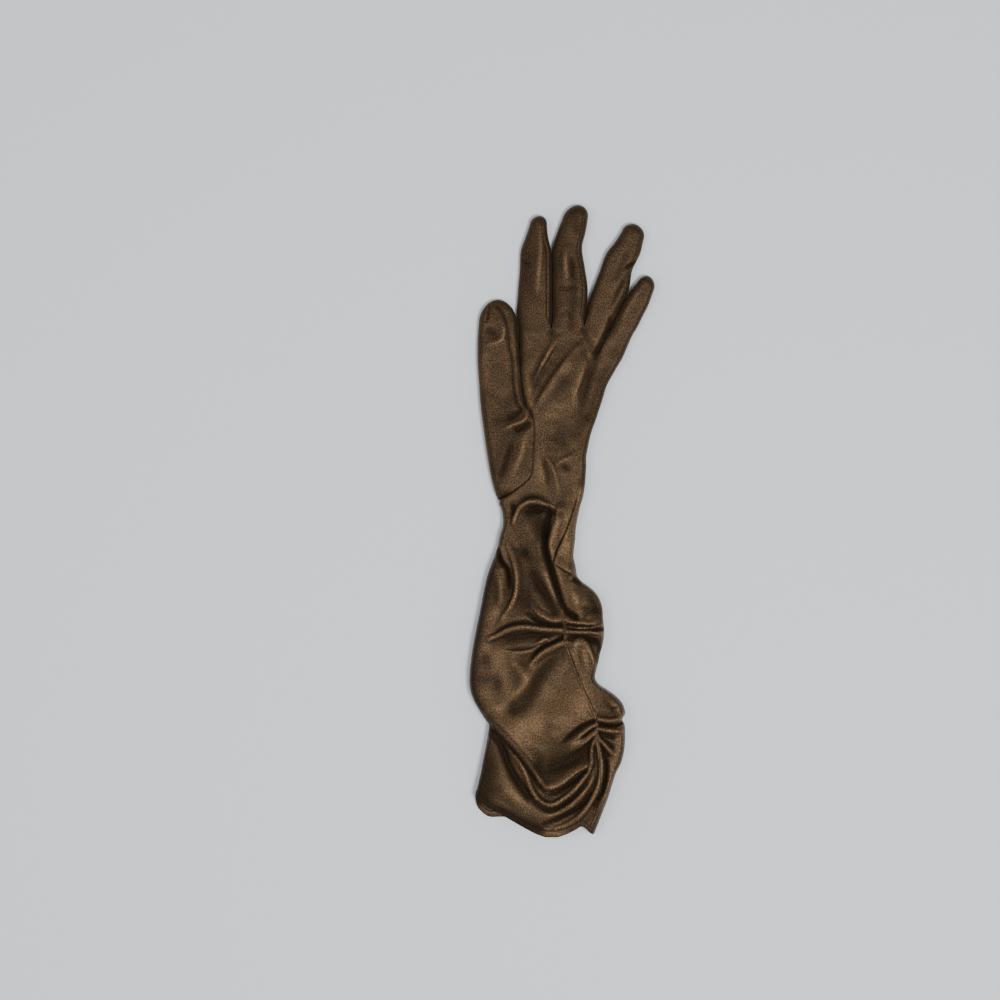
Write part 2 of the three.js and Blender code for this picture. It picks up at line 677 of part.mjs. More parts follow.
// Point on the front or back of a finger, share of the way from left to right
function fingerPoint(section, share, face) {
  const { left, right, width, open, free } = section;
  const [x, y] = [lerp(left.x, right.x, share), lerp(left.y, right.y, share)];
  const level = FINGER_FOLD_LEVEL;
  const fromSide = width * Math.min(share, 1 - share);
  if (face === "front") {
    const crown = level + (FINGER_CROWN - level) * open;
    const round = crown - (crown - level) * edgeFall(fromSide, width * FRONT_ROUND_SHARE);
    return new THREE.Vector3(x, y, lerp(palmHeight(x, y), round, free));
  }
  const sole = level * (1 - open);
  const round = sole + (level - sole) * edgeFall(fromSide, width * BACK_ROUND_SHARE);
  return new THREE.Vector3(x, y, lerp(backHeight(x, y), round, free));
}

// Rows along the arm: closer together at the gathers
const ARM_BANDS = [
  { from: HEM_Y + HEM_WIDTH + HEM_GAP, to: -160, rows: 9 },
  { from: -160, to: -126, rows: 12 },
  { from: -126, to: -91, rows: 5 },
  { from: -91, to: -57, rows: 13 },
  { from: -57, to: -2, rows: 7 },
  { from: -2, to: WRIST_Y, rows: 4 },
];
const WRAP_TOP_Y = 43; // from here up the back no longer wraps round onto the front
const THUMB_SEAM_ROWS = [15.5, 18.5, 22.5, 27.5, 34, WRAP_TOP_Y, 52, 61, 67, 71, CROTCH_Y];
const UPPER_HAND_ROWS = [80, 89, 99, 109, 116];
const THUMB_ROWS = [80, 90, 101, 112, 122, 130, 136, 140, 142.5];
const THUMB_TIP_Y = 144.2;
const KNUCKLE_BEND_Y = 60; // the rows turn towards the finger bases from here up

const armRows = ARM_BANDS.flatMap(({ from, to, rows }) =>
  Array.from({ length: rows }, (_, k) => lerp(from, to, k / rows)),
);
const panelRows = [...armRows, WRIST_Y, ...THUMB_SEAM_ROWS, ...UPPER_HAND_ROWS];

// One row across arm or hand. Rows follow the hem at the bottom and the finger bases at the top.
function rowAcross(rowY) {
  const hemShare = 1 - smoothstep(rowY, HEM_Y, HEM_Y + HEM_BEND_REACH);
  const bend = (rowY - KNUCKLE_BEND_Y) / (KNUCKLE_Y - KNUCKLE_BEND_Y);
  const knuckleShare = THREE.MathUtils.clamp(bend, 0, 1) ** 2;
  const yAt = (x) => rowY + (hemLine(x) - HEM_Y) * hemShare;
  const rightDrop = (FINGERS.at(-1).sections[0].rightY - KNUCKLE_Y) * knuckleShare;
  const settle = (edge, drop) => {
    let x = edge(rowY);
    for (let k = 0; k < 6; k += 1) x = edge(yAt(x) + drop);
    return x;
  };
  const onThumb = rowY > WRIST_Y && rowY <= CROTCH_Y;
  return {
    rowY,
    yAt,
    knuckleShare,
    left: settle(armLeft, 0),
    under: onThumb ? thumbUnder(rowY) + SEAM_GAP / 2 : settle(armLeft, 0),
    seam: settle(armSeam, rightDrop),
    right: settle(armRight, rightDrop),
  };
}

// Places of the columns at the finger bases, with their share of the width
function knucklePlaces(columnsPerFinger) {
  const places = FINGERS.flatMap(({ sections: [base] }) =>
    Array.from({ length: columnsPerFinger }, (_, k) => ({
      x: lerp(base.leftX, base.rightX, k / columnsPerFinger),
      y: lerp(base.leftY, base.rightY, k / columnsPerFinger),
    })),
  );
  const last = FINGERS.at(-1).sections[0];
  places.push({ x: last.rightX, y: last.rightY });
  const width = last.rightX - places[0].x;
  return places.map(({ x, y }) => ({ y, share: (x - places[0].x) / width }));
}

// Even steps from 0 to 1 that are denser at both ends
function bunched(step) {
  return step - SIDE_BUNCHING * Math.sin(2 * Math.PI * step);
}

// x and y of the columns of one row between two sides
function columnsAcross(row, from, to, columnsPerFinger) {
  const places = knucklePlaces(columnsPerFinger);
  return places.map(({ y, share }, k) => {
    const x = lerp(from, to, lerp(bunched(k / (places.length - 1)), share, row.knuckleShare));
    return [x, row.yAt(x) + (y - KNUCKLE_Y) * row.knuckleShare];
  });
}

// The arm seam: its place, the way into the cloth there, and the way across the seam to the back panel
function seamFrame(row) {
  const [x, y] = columnsAcross(row, row.left, row.seam, FRONT_COLUMNS_PER_FINGER).at(-1);
  const step = 0.4;
  const slope = (frontHeight(x, y) - frontHeight(x - step, y)) / step;
  const across = new THREE.Vector3(1, 0, slope).normalize();
  const inward = new THREE.Vector3(across.z, 0, -across.x);
  return { point: new THREE.Vector3(x, y, frontHeight(x, y)), inward, across };
}

// Front row of the palm panel
function palmRow(rowY) {
  const row = rowAcross(rowY);
  const lap = thumbSeamShare(rowY);
  const seam = seamFrame(row);
  const hem = rowY === armRows[0] ? "section" : undefined;
  const corners = columnsAcross(row, row.left, row.seam, FRONT_COLUMNS_PER_FINGER).map(([x, y]) => ({
    point: new THREE.Vector3(x, y, palmHeight(x, y)),
    inward: hem,
  }));
  corners[0].point.add(new THREE.Vector3(lap, 0, 1 - lap).multiplyScalar(SEAM_GAP / 2));
  corners[0].inward = between(RIGHT, DOWN, lap);
  const last = corners.at(-1);
  last.point = seam.point.clone().addScaledVector(seam.across, -SEAM_GAP / 2);
  last.inward = seam.inward;
  return corners;
}

// Side of a finger: where its front panel ends, and how much of the back is left to the strip
function sideOf(finger, section, side) {
  const inset = (side > 0 ? finger.rightInset : finger.leftInset) * section.free * section.open ** 2;
  const backInset = inset > 0 ? BACK_INSET * section.free * section.open : 0;
  const outward = section.outward.clone().multiplyScalar(side);
  const flat = new THREE.Vector3(-outward.x, -outward.y, 0);
  const fork = new THREE.Vector3(0, -1, 0);
  const hasStrip = (side > 0 ? finger.rightInset : finger.leftInset) > 0;
  const into = hasStrip ? between(fork, flat, section.free) : flat;
  const share = (distance) => (side > 0 ? 1 - distance / section.width : distance / section.width);
  const lean = STRIP_LEAN * Math.min(inset / 2, 1);
  return { inset, backInset, hasStrip, share, frontInward: between(into, DOWN, lean), backInward: into };
}

// Row across the front or back of one finger
function fingerRow(finger, station, face, columns) {
  const section = fingerSection(finger, station);
  const [left, right] = [sideOf(finger, section, -1), sideOf(finger, section, 1)];
  const key = face === "front" ? "inset" : "backInset";
  const [from, to] = [left.share(left[key]), right.share(right[key])];
  const lift = (face === "front" ? SEAM_GAP : -SEAM_GAP) / 2;
  const tip = section.open === 0;
  const corners = Array.from({ length: columns + 1 }, (_, k) => {
    const step = k / columns;
    const share = lerp(from, to, lerp(step, bunched(step), section.free));
    const point = fingerPoint(section, share, face);
    if (tip) point.z += lift;
    return { point, inward: tip ? section.towardsBase : undefined };
  });
  if (!tip) {
    const inwardKey = face === "front" ? "frontInward" : "backInward";
    corners[0].inward = left[inwardKey];
    corners[columns].inward = right[inwardKey];
    if (!left.hasStrip) corners[0].point.z += lift;
    if (!right.hasStrip) corners[columns].point.z += lift;
  }
  return corners;
}

function buildPalmPanel() {
  const sheet = new Sheet();
  const bases = FINGERS.map((finger) => fingerRow(finger, 0, "front", FRONT_COLUMNS_PER_FINGER));
  const knuckles = bases.flatMap((row, k) => (k === 0 ? row : row.slice(1)));
  sheet.grid([...panelRows.map(palmRow), knuckles]);
  for (const finger of FINGERS) {
    sheet.grid(FINGER_STATIONS.map((at) => fingerRow(finger, at, "front", FRONT_COLUMNS_PER_FINGER)));
  }
  return sheet.solid(CLOTH_WALL);
}

// Row of the back panel above the wrap: across the back only
function handBackRow(rowY) {
  const row = rowAcross(rowY);
  const corners = columnsAcross(row, row.under, row.right, BACK_COLUMNS_PER_FINGER).map(([x, y]) => ({
    point: new THREE.Vector3(x, y, backHeight(x, y)),
  }));
  return closeBackRow(corners, row);
}

// Shifts both ends of a back row clear of the pieces beyond their seams
function closeBackRow(corners, row) {
  const under = thumbUnderShare(row.rowY);
  const seam = seamFrame(row);
  corners[0].point.z -= (SEAM_GAP / 2) * (1 - under);
  corners[0].inward = between(RIGHT, UP, under);
  const last = corners.at(-1);
  last.point = seam.point.clone().addScaledVector(seam.across, SEAM_GAP / 2);
  last.inward = seam.inward;
  return corners;
}

// Distances in from a side at which the back of the arm has its columns
const ARM_BACK_STEPS = [0, 1.6, SOLE_ROUND];

// Row of the back panel along the arm: across the back and round the right side to the arm seam
function armBackRow(rowY) {
  const row = rowAcross(rowY);
  const hem = rowY === armRows[0] ? "section" : undefined;
  const across = [
    ...ARM_BACK_STEPS.map((step) => row.under + step),
    (row.under + row.right) / 2,
    ...ARM_BACK_STEPS.toReversed().map((step) => row.right - step),
  ];
  const corners = across.map((x) => ({
    point: new THREE.Vector3(x, row.yAt(x), backHeight(x, row.yAt(x))),
    inward: hem,
  }));
  const width = row.right - row.seam;
  for (let k = 1; k <= WRAP_COLUMNS; k += 1) {
    const x = row.right - width * (k / WRAP_COLUMNS) ** WRAP_BUNCHING;
    corners.push({ point: new THREE.Vector3(x, row.yAt(x), frontHeight(x, row.yAt(x))), inward: hem });
  }
  closeBackRow(corners, row);
  if (width < SEAM_GAP) {
    corners.splice(across.length - 1, WRAP_COLUMNS, ...Array(WRAP_COLUMNS).fill(corners.at(-1)));
  }
  return corners;
}

function buildBackPanel() {
  const sheet = new Sheet();
  const split = panelRows.indexOf(WRAP_TOP_Y);
  const bases = FINGERS.map((finger) => fingerRow(finger, 0, "back", BACK_COLUMNS_PER_FINGER));
  const knuckles = bases.flatMap((row, k) => (k === 0 ? row : row.slice(1)));
  const lower = panelRows.slice(0, split).map(armBackRow);
  const upper = [...panelRows.slice(split).map(handBackRow), knuckles];
  sheet.grid(lower, -1);
  sheet.zip(lower.at(-1).slice(0, -WRAP_COLUMNS), upper[0], -1);
  sheet.grid(upper, -1);
  for (const finger of FINGERS) {
    sheet.grid(FINGER_STATIONS.map((at) => fingerRow(finger, at, "back", BACK_COLUMNS_PER_FINGER)), -1);
  }
  return sheet.solid(CLOTH_WALL);
}

// Points across a side strip at one station of one finger, from its front edge to its back edge
function stripRow(finger, station, side) {
  const section = fingerSection(finger, station);
  const { inset, backInset, share, frontInward, backInward } = sideOf(finger, section, side);
  const front = fingerPoint(section, share(inset), "front");
  const back = fingerPoint(section, share(backInset), "back");
  const way = back.clone().sub(front);
  const gap = Math.min((SEAM_GAP * (4 - 3 * section.open)) / way.length(), STRIP_GAP_MAX); // wider at the tip
  const at = (part) => front.clone().addScaledVector(way, part);
  const [edge, high, low, end] = [gap, ...STRIP_THIRDS, 1 - gap].map(at);
  high.lerp(fingerPoint(section, share(inset * STRIP_BEND), "front"), section.free);
  low.lerp(fingerPoint(section, share(0), "back"), section.free);
  return [
    { point: edge, inward: frontInward },
    { point: high },
    { point: low },
    { point: end, inward: backInward },
  ];
}

// Side strip between two fingers: up the right side of one and the left side of the next
function buildFourchette(first, second) {
  const sheet = new Sheet();
  const stations = FINGER_STATIONS.slice(0, -1); // the panels close the tip beyond it
  const up = stations.map((at) => stripRow(first, at, 1));
  const down = stations.map((at) => stripRow(second, at, -1));
  sheet.grid([...up.toReversed(), ...down.slice(1)], -1);
  return sheet.solid(CLOTH_WALL);
}

// Thumb: down the front from its right edge to the left fold, and back underneath
function thumbHeight(x, y, right, crown) {
  const level = foldLevel(y);
  const rightLevel = lerp(level, crown, thumbSeamShare(y));
  const round = (right - thumbLeft(y)) * FRONT_ROUND_SHARE;
  const fall = (crown - level) * edgeFall(x - thumbLeft(y), round);
  const rightFall = (crown - rightLevel) * edgeFall(right - x, round);
  const fromSide = Math.min(x - thumbLeft(y), right - x + LAP_REACH * thumbSeamShare(y));
  return crown - fall - rightFall + foldHeight(x, y) * smoothstep(fromSide, 0, FOLD_FADE);
}

function thumbRow(y) {
  const sewn = y <= CROTCH_Y;
  const lap = thumbSeamShare(y);
  const under = thumbUnderShare(y);
  const closing = 1 - THREE.MathUtils.clamp((THUMB_TIP_Y - y) / THUMB_TIP_ROUND, 0, 1);
  const open = Math.sqrt(1 - closing ** 2);
  const left = thumbLeft(y);
  const right = sewn ? armLeft(y) - SEAM_GAP / 2 - 0.4 * (1 - lap) : thumbSide(y);
  const level = foldLevel(y);
  const close = (z) => lerp(level, z, open);
  const steps = Array.from({ length: THUMB_COLUMNS + 1 }, (_, k) => bunched(k / THUMB_COLUMNS));
  const front = steps.map((step) => {
    const x = lerp(right, left, step);
    return { point: new THREE.Vector3(x, y, close(thumbHeight(x, y, right, thumbCrown(y)))) };
  });
  const backEnd = sewn ? thumbUnder(y) - SEAM_GAP / 2 : right;
  const back = steps.slice(1).map((step) => {
    const x = lerp(left, backEnd, step);
    const inner = (1 - under) * edgeFall(backEnd - x, SOLE_ROUND);
    const rise = level * (edgeFall(x - left, SOLE_ROUND) + inner);
    return { point: new THREE.Vector3(x, y, close(Math.min(rise, level))) };
  });
  const corners = [...front, ...back];
  if (sewn) {
    corners[0].inward = between(LEFT, DOWN, lap);
    corners.at(-1).inward = between(LEFT, UP, under);
  } else {
    corners[0] = corners[corners.length - 1];
  }
  return corners;
}

function buildThumb() {
  const sheet = new Sheet();
  const count = 2 * THUMB_COLUMNS + 1;
  const pole = (x, y, way) => {
    const corner = { point: new THREE.Vector3(x, y, foldLevel(y)), inward: way };
    return Array(count).fill(corner);
  };
  const lowest = pole(THUMB_SECTIONS[0].left, WRIST_Y + SEAM_GAP, new THREE.Vector3(0.3, 1, 0).normalize());
  const tipX = (thumbLeft(THUMB_TIP_Y) + thumbSide(THUMB_TIP_Y)) / 2;
  const tip = pole(tipX, THUMB_TIP_Y, new THREE.Vector3(0, -1, 0));
  const rows = [...THUMB_SEAM_ROWS, ...THUMB_ROWS].map(thumbRow);
  sheet.grid([lowest, ...rows, tip], -1);
  return sheet.solid(CLOTH_WALL);
}

// Hem: the turned end of both panels, one ring round the mouth
function hemRow(rowY) {
  const row = rowAcross(rowY);
  const front = columnsAcross(row, row.left, row.seam, FRONT_COLUMNS_PER_FINGER).map(([x]) => x);
  const width = row.right - row.seam;
  for (let k = WRAP_COLUMNS - 1; k >= 0; k -= 1) {
    front.push(row.right - width * (k / WRAP_COLUMNS) ** WRAP_BUNCHING);
  }
  const back = [
    ...ARM_BACK_STEPS.slice(1).map((step) => row.right - step),
    (row.left + row.right) / 2,
    ...ARM_BACK_STEPS.toReversed().map((step) => row.left + step),
  ];
  const corner = (x, height) => ({
    point: new THREE.Vector3(x, row.yAt(x), height(x, row.yAt(x))),
    inward: "section",
  });
  return [...front.map((x) => corner(x, frontHeight)), ...back.map((x) => corner(x, backHeight))];
}

function buildHem() {
  const sheet = new Sheet();
  sheet.grid([HEM_Y, HEM_Y + HEM_WIDTH].map(hemRow));
  return sheet.solid(HEM_WALL);
}

// Finish: dark brown satin knit
const satin = { color: 0x3b2e22, roughness: 0.55, metalness: 0 };
const stripSatin = { color: 0x33281e, roughness: 0.6, metalness: 0 };

const glove = new THREE.Group();
glove.name = "ruched_glove";

function addPiece(name, geometry, finish) {
  const piece = new THREE.Mesh(geometry, new THREE.MeshStandardMaterial(finish));
  piece.name = name;
  glove.add(piece);
}

addPiece("palm_panel", buildPalmPanel(), satin);
addPiece("back_panel", buildBackPanel(), satin);
addPiece("thumb", buildThumb(), satin);
for (let k = 0; k < FINGERS.length - 1; k += 1) {
  const [first, second] = [FINGERS[k], FINGERS[k + 1]];
  addPiece(`fourchette_${first.name}_${second.name}`, buildFourchette(first, second), stripSatin);
}
addPiece("hem_band", buildHem(), satin);

export default glove;
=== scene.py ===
# %% [markdown]
# # A ruched dress glove
# A long glove of satin knit lies palm up on a pale floor. It is sewn from a palm panel, a back panel, a
# thumb and three side strips between the fingers, and its arm is drawn up along one seam at two places, so
# that folds fan out from there. Soft cloth could be simulated, but a simulation forms its own folds. Here
# every fold is known, so each piece is a surface worked out with numpy, and the folds are added to it.

import bmesh
import bpy
import numpy as np
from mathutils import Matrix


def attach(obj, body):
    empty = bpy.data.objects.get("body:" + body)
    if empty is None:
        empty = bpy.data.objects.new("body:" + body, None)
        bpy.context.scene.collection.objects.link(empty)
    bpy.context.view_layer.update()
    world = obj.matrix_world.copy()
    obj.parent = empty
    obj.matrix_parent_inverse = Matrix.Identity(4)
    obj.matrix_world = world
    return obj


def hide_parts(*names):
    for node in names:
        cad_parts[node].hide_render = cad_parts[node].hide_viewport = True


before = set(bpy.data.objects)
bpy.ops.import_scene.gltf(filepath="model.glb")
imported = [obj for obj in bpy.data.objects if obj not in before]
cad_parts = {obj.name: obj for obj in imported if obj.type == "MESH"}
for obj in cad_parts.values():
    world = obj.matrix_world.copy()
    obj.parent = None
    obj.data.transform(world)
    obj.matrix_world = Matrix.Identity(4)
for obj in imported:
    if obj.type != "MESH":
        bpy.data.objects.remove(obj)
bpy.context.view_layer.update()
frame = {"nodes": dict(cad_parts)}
print("nodes:", ", ".join(frame["nodes"]))

# %% [markdown]
# ## Units and the view from above
# Lengths below are millimetres, and a mesh is made in metres at the very end. The paths of folds are read
# off the photo, so they are kept in its pixels, and one function turns them into places on the glove.

# %% Units
MM = 0.001
PIXEL = 0.65  # millimetres for each pixel of the photo
GLOVE_AT_PIXEL = (562, 521)  # where the glove's origin lies in the photo
FRAME_PIXELS = 1000


def places_of(path):
    """Text such as "564,619 556,620" as an array of x and y in millimetres: the pixels less the
    origin's, times the scale, with y turned upwards."""
    pixels = np.array([pair.split(",") for pair in path.split()], float)
    return (pixels - GLOVE_AT_PIXEL) * (PIXEL, -PIXEL)


print("the photo is", FRAME_PIXELS * PIXEL, "mm wide at the glove")

# %% [markdown]
# ## The cloth and its levels
# A glove laid flat is a tube pressed nearly shut. The back lies on the floor, the front is a low crown, and
# both meet in a rounded side a few millimetres up.

# %% Driving sizes
CLOTH_WALL = 0.9
HEM_WALL = 1.8
HEM_WIDTH = 4.0
SEAM_GAP = 0.05  # between two pieces along a seam
FINGER_SIDE_LEVEL = 3.6
ARM_SIDE_LEVEL = 5.0
FINGER_CROWN = 9.6
LEFT_ROUND, HAND_LEFT_ROUND, RIGHT_ROUND = 3.0, 4.2, 3.4  # how far the front rounds down at its sides
SOLE_ROUND = 5.0
HEM_Y, WRIST_Y, CROTCH_Y, KNUCKLE_Y = -200.0, 13.7, 73.5, 121.6
HEM_BEND_REACH = 60.0
KNUCKLE_BEND_Y = 60.0
SEAM_TOP_Y = 33.0  # above this the arm seam has come round to the side

# Sections of arm and hand: y, left side, arm seam, crown. In the last row the seam has run on inside the
# little finger, whose base lies lower
SECTIONS = np.array([
    (-204, -57.5, 16.5, 11.0), (-196, -57.3, 18.8, 12.0), (-188, -57.0, 21.8, 13.0),
    (-179, -56.8, 23.4, 13.5), (-171, -55.0, 24.3, 14.0), (-163, -53.0, 24.7, 14.0),
    (-155, -51.4, 24.3, 14.0), (-147, -49.7, 23.7, 14.0), (-140, -48.4, 22.8, 14.0),
    (-132, -47.5, 23.0, 14.0), (-129, -49.5, 22.6, 14.0), (-124, -52.8, 21.3, 14.0),
    (-117, -56.9, 18.2, 14.0), (-110, -59.5, 14.8, 14.0), (-103, -60.1, 11.8, 14.0),
    (-95, -59.7, 8.6, 14.0), (-86, -58.6, 5.2, 14.0), (-78, -57.3, 2.6, 14.0),
    (-70, -55.8, 2.4, 14.0), (-62, -54.1, 1.2, 14.0), (-55, -52.6, 0.4, 14.0),
    (-48, -51.4, -1.0, 14.0), (-41, -49.9, -2.8, 13.8), (-34, -48.1, -4.6, 13.5),
    (-26, -45.2, -5.7, 13.0), (-18, -42.3, -2.9, 12.6), (-10, -40.6, 0.5, 12.3),
    (-2, -38.4, 3.9, 12.0), (6, -39.0, 7.0, 11.8), (13.7, -40.5, 9.1, 11.5),
    (18.5, -32.3, 10.7, 11.3), (23, -26.4, 12.2, 11.1), (27.5, -21.4, 13.3, 11.0),
    (33, -19.6, 15.6, 11.0), (41, -18.9, 15.7, 11.0), (48, -18.7, 16.9, 11.0),
    (57, -18.2, 18.9, 10.8), (65, -18.8, 21.8, 10.6), (70, -20.0, 23.4, 10.5),
    (73.5, -22.9, 24.6, 10.4), (80, -24.9, 26.7, 10.2), (88, -26.2, 29.2, 10.0),
    (98, -27.0, 34.7, 9.8), (108, -27.6, 40.3, 9.6), (121.6, -28.0, 44.4, 9.4),
])
# The right side of the arm, from the hem up to where the seam reaches the side
RIGHT_SIDE = places_of(
    "593,840 594,833 598,823 603,810 608,797 612,784 616,772 621,762 624,750 625,738 625,728 624,723"
    " 622,719 625,713 624,707 621,701 615,695 608,690 600,685 595,678 595.6,672 598.6,660 600,653"
    " 603,642 604,630 603,618 602,606 598,596 592,589 585,584 580,580 577,575 575.5,566 573.5,557"
    " 573.7,552 575,540 576,527 578,516 580,507 583,497 585,484 586,470")
HEM_LINE = places_of(
    "473,790 476,795 479,799 486,805 496,810 508,817 518,823 527,828 537,833 546,836 556,836 566,833"
    " 574,829 581,825 585,827 589,831 594,834")


def smooth_step(value, low, high):
    """0 below low, 1 above high, and 3s^2 - 2s^3 between them."""
    s = np.clip((value - low) / (high - low), 0, 1)
    return s * s * (3 - 2 * s)


def mix(a, b, share):
    """The value that lies this share of the way from a to b."""
    return a + (b - a) * share


def smooth_column(places, values, at):
    """A cubic between the rows of a table. The slope at a row is that of the line between the rows
    before and after it, and two equal values stay level."""
    places, values = np.asarray(places, float), np.asarray(values, float)
    rows = np.arange(len(places))
    before, after = np.maximum(rows - 1, 0), np.minimum(rows + 1, rows[-1])
    slopes = (values[after] - values[before]) / (places[after] - places[before])
    k = np.clip(np.searchsorted(places, at, side="right") - 1, 0, len(places) - 2)
    span = places[k + 1] - places[k]
    s = np.clip((at - places[k]) / span, 0, 1)
    bow = s * (1 - s) * span * ((1 - s) * slopes[k] - s * slopes[k + 1])
    bow = np.where(values[k] == values[k + 1], 0, bow)
    return mix(values[k], values[k + 1], s * s * (3 - 2 * s)) + bow


def left_side(y):
    """x of the left side of arm and hand, from the table of sections."""
    return smooth_column(SECTIONS[:, 0], SECTIONS[:, 1], y)


def seam_line(y):
    """x of the arm seam, which becomes the right side of the hand."""
    return smooth_column(SECTIONS[:, 0], SECTIONS[:, 2], y)


def crown_of(y):
    """Height of the front away from its sides."""
    return smooth_column(SECTIONS[:, 0], SECTIONS[:, 3], y)


def right_side(y):
    """The traced side of the arm, and above it the column that seam and side share."""
    traced = smooth_column(RIGHT_SIDE[:, 1], RIGHT_SIDE[:, 0], y)
    return np.where(y < SEAM_TOP_Y, np.maximum(traced, seam_line(y)), seam_line(y))


def hem_line(x):
    """y of the lower edge of the hem."""
    return smooth_column(HEM_LINE[:, 0], HEM_LINE[:, 1], x)


print("arm", round(float(right_side(-60.0) - left_side(-60.0)), 1), "mm wide at the upper gather")

# %% [markdown]
# ## The folds
# A fold is a ridge, or a valley where its rise is below zero. Its section is a bell curve with one width on
# each side of its path, so a small width on one side makes the steep edge of cloth that hangs over. Walking
# along a path, left is the left-hand side in the photo. start and end are the shares of the rise that are
# left at the two ends. Paths of the arm start at a gather, where the folds are pinched and narrow.

